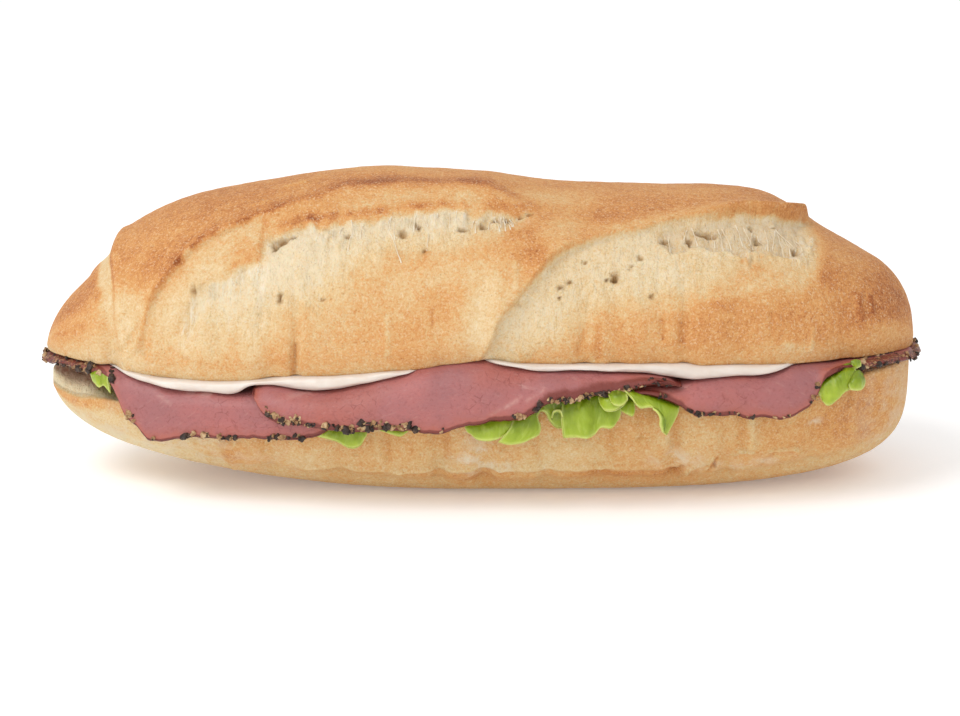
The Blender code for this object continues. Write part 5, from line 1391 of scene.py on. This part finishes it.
def meatTops(xs, ys):
    # The pastrami's top at every station as the cream settles on it, smoothed over its steps
    tops = np.array([highestSlice(x, y) for x, y in zip(xs, ys)])
    weights = np.array([1, 2, 3, 4, 5, 4, 3, 2, 1])
    padded = np.pad(tops, ((4, 4), (0, 0)), mode="edge")
    return sum(w * padded[i:i + len(tops)] for i, w in enumerate(weights)) / weights.sum() + creamLook["clearance"]


def creamMaterial():
    s = Shader("white cream")
    colour = s.ramp(s.noise(180, 3), [(0.3, (244, 233, 222)), (0.7, (234, 220, 207))])
    normal = s.raised(s.noise(520, 4, 0.6), 0.0003, 0.5)
    normal = s.raised(s.noise(130, 2), 0.0010, 0.5, normal)
    return s.finish(Base_Color=colour, Roughness=0.34, Specular_IOR_Level=0.45, Normal=normal,
                    soft=(0.3, (0.003, 0.0025, 0.002)))


def makeCream():
    low, high = creamLook["reach"]
    xs = np.linspace(low, high, creamLook["stations"])
    half = topHalfDepth(xs)
    front = -(half - smoothLine(creamLook["setback"], xs)) * 0.985 + 1.2
    back = half * 0.96 - smoothLine(creamLook["backSetback"], xs)
    ys = front[:, None] + (back - front)[:, None] * np.linspace(0, 1, creamLook["columns"])
    sag = smoothLine(topLook["rimSag"], xs)[:, None] * np.linspace(1, 0, creamLook["columns"])
    upper = topCut(xs[:, None] + 0 * ys, ys) + 0.12 - sag
    lower = np.minimum(meatTops(xs, ys), upper - creamLook["least"])
    turn = np.linspace(math.pi / 2, -math.pi / 2, creamLook["faceRows"])[1:-1]
    middleZ, halfZ = (upper[:, :1] + lower[:, :1]) / 2, (upper[:, :1] - lower[:, :1]) / 2
    x = xs[:, None] + 0 * turn
    lump = 0.35 * softNoise(x / 7, 0, 0, 71) + 0.3 * roughNoise(x / 3.0, turn, 0, 75) * np.cos(turn)
    faceY = ys[:, :1] - creamLook["face"] * np.cos(turn) ** 0.4
    faceY = faceY - (creamLook["bulge"] + lump) * np.cos(turn) * np.minimum(1, halfZ)
    sag = np.cos(turn) * softNoise(x / 4, turn, 0, 73) * 0.25
    faceZ = middleZ + halfZ * np.sin(turn) + sag
    ringY = np.concatenate([ys[:, ::-1], faceY, ys], axis=1)
    ringZ = np.concatenate([upper[:, ::-1], faceZ, lower], axis=1)
    rings = np.stack([xs[:, None] + 0 * ringY, ringY, ringZ], axis=-1)
    points = np.concatenate([rings.reshape(-1, 3), [rings[0].mean(axis=0)], [rings[-1].mean(axis=0)]])
    return makeMesh("creamLayer", points, ringFaces(*rings.shape[:2]), spreadMaterial)


# Camera, floor and light

cameraLook = {"lens": 100, "sensor": 36, "lift": 14, "distance": 0.6165, "target": (0, 0, 0.026)}


def makeCamera():
    data = bpy.data.cameras.new("camera")
    data.lens, data.sensor_width = cameraLook["lens"], cameraLook["sensor"]
    data.dof.use_dof = False
    camera = inScene("camera", data)
    lift, distance, target = math.radians(cameraLook["lift"]), cameraLook["distance"], Vector(cameraLook["target"])
    camera.location = target + distance * Vector((0, -math.cos(lift), math.sin(lift)))
    camera.rotation_euler = (math.pi / 2 - lift, 0, 0)
    bpy.context.scene.camera = camera


floorLook = {"size": 3.0, "colour": (0.95, 0.95, 0.95, 1), "glow": 0.16, "height": -0.0002}


def makeFloor():
    size = floorLook["size"]
    mesh = bpy.data.meshes.new("floor")
    mesh.from_pydata([(-size, -size, 0), (size, -size, 0), (size, size, 0), (-size, size, 0)], [], [(0, 1, 2, 3)])
    s = Shader("floor")
    mesh.materials.append(s.finish(Base_Color=floorLook["colour"], Roughness=0.9, Specular_IOR_Level=0.1,
                                   Emission_Color=(1, 1, 1, 1), Emission_Strength=floorLook["glow"]))
    floor = inScene("floor", mesh)
    floor.location.z = floorLook["height"]


lightLook = {
    "key": {"place": (-0.55, -0.45, 0.90), "size": 0.6, "power": 5.2},
    "fill": {"place": (-0.2, -1.0, 0.18), "size": 0.9, "power": 1.5},
    "world": 0.84,
}


def makeLights():
    for name in ("key", "fill"):
        data = bpy.data.lights.new(name, "AREA")
        data.shape, data.size, data.energy = "DISK", lightLook[name]["size"], lightLook[name]["power"]
        light = inScene(name, data)
        light.location = lightLook[name]["place"]
        light.rotation_euler = (Vector((0, 0, 0.03)) - light.location).to_track_quat("-Z", "Y").to_euler()
    world = bpy.data.worlds.new("studio")
    world.use_nodes = True
    sky = world.node_tree.nodes["Background"].inputs
    sky["Color"].default_value = (1, 1, 1, 1)
    sky["Strength"].default_value = lightLook["world"]
    bpy.context.scene.world = world
    bpy.context.scene.view_settings.view_transform = "Standard"


def settle(piece, slot, *nodes):
    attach(piece, "root")
    if nodes:
        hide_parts(*nodes)


makeCamera()
makeFloor()
makeLights()
print("stage set")
crustMaterial = breadMaterial("bread crust")
meatMaterial = pastramiMaterial()
spreadMaterial = creamMaterial()
lettuceMaterial = leafMaterial()
settle(makeTop(), "bread_top", "bread_top")
settle(makeThreads(), "bread_top")
print("top half done")
settle(makeBase(), "bread_base", "bread_base")
print("bottom half done")
for side in slices:
    settle(makeSlice("pastrami" + side.capitalize(), slices[side]), "pastrami", "pastrami_" + side)
print("pastrami done")
for name in pepper["kinds"]:
    settle(makeGrains(name), "pastrami")
print("pepper done")
for i, side in enumerate(frills):
    settle(makeLeaf("lettuce" + side.capitalize(), frills[side], 120 + 40 * i), "lettuce", "lettuce_" + side)
print("lettuce done")
settle(makeCream(), "cream_spread", "cream_spread")
print("cream done")
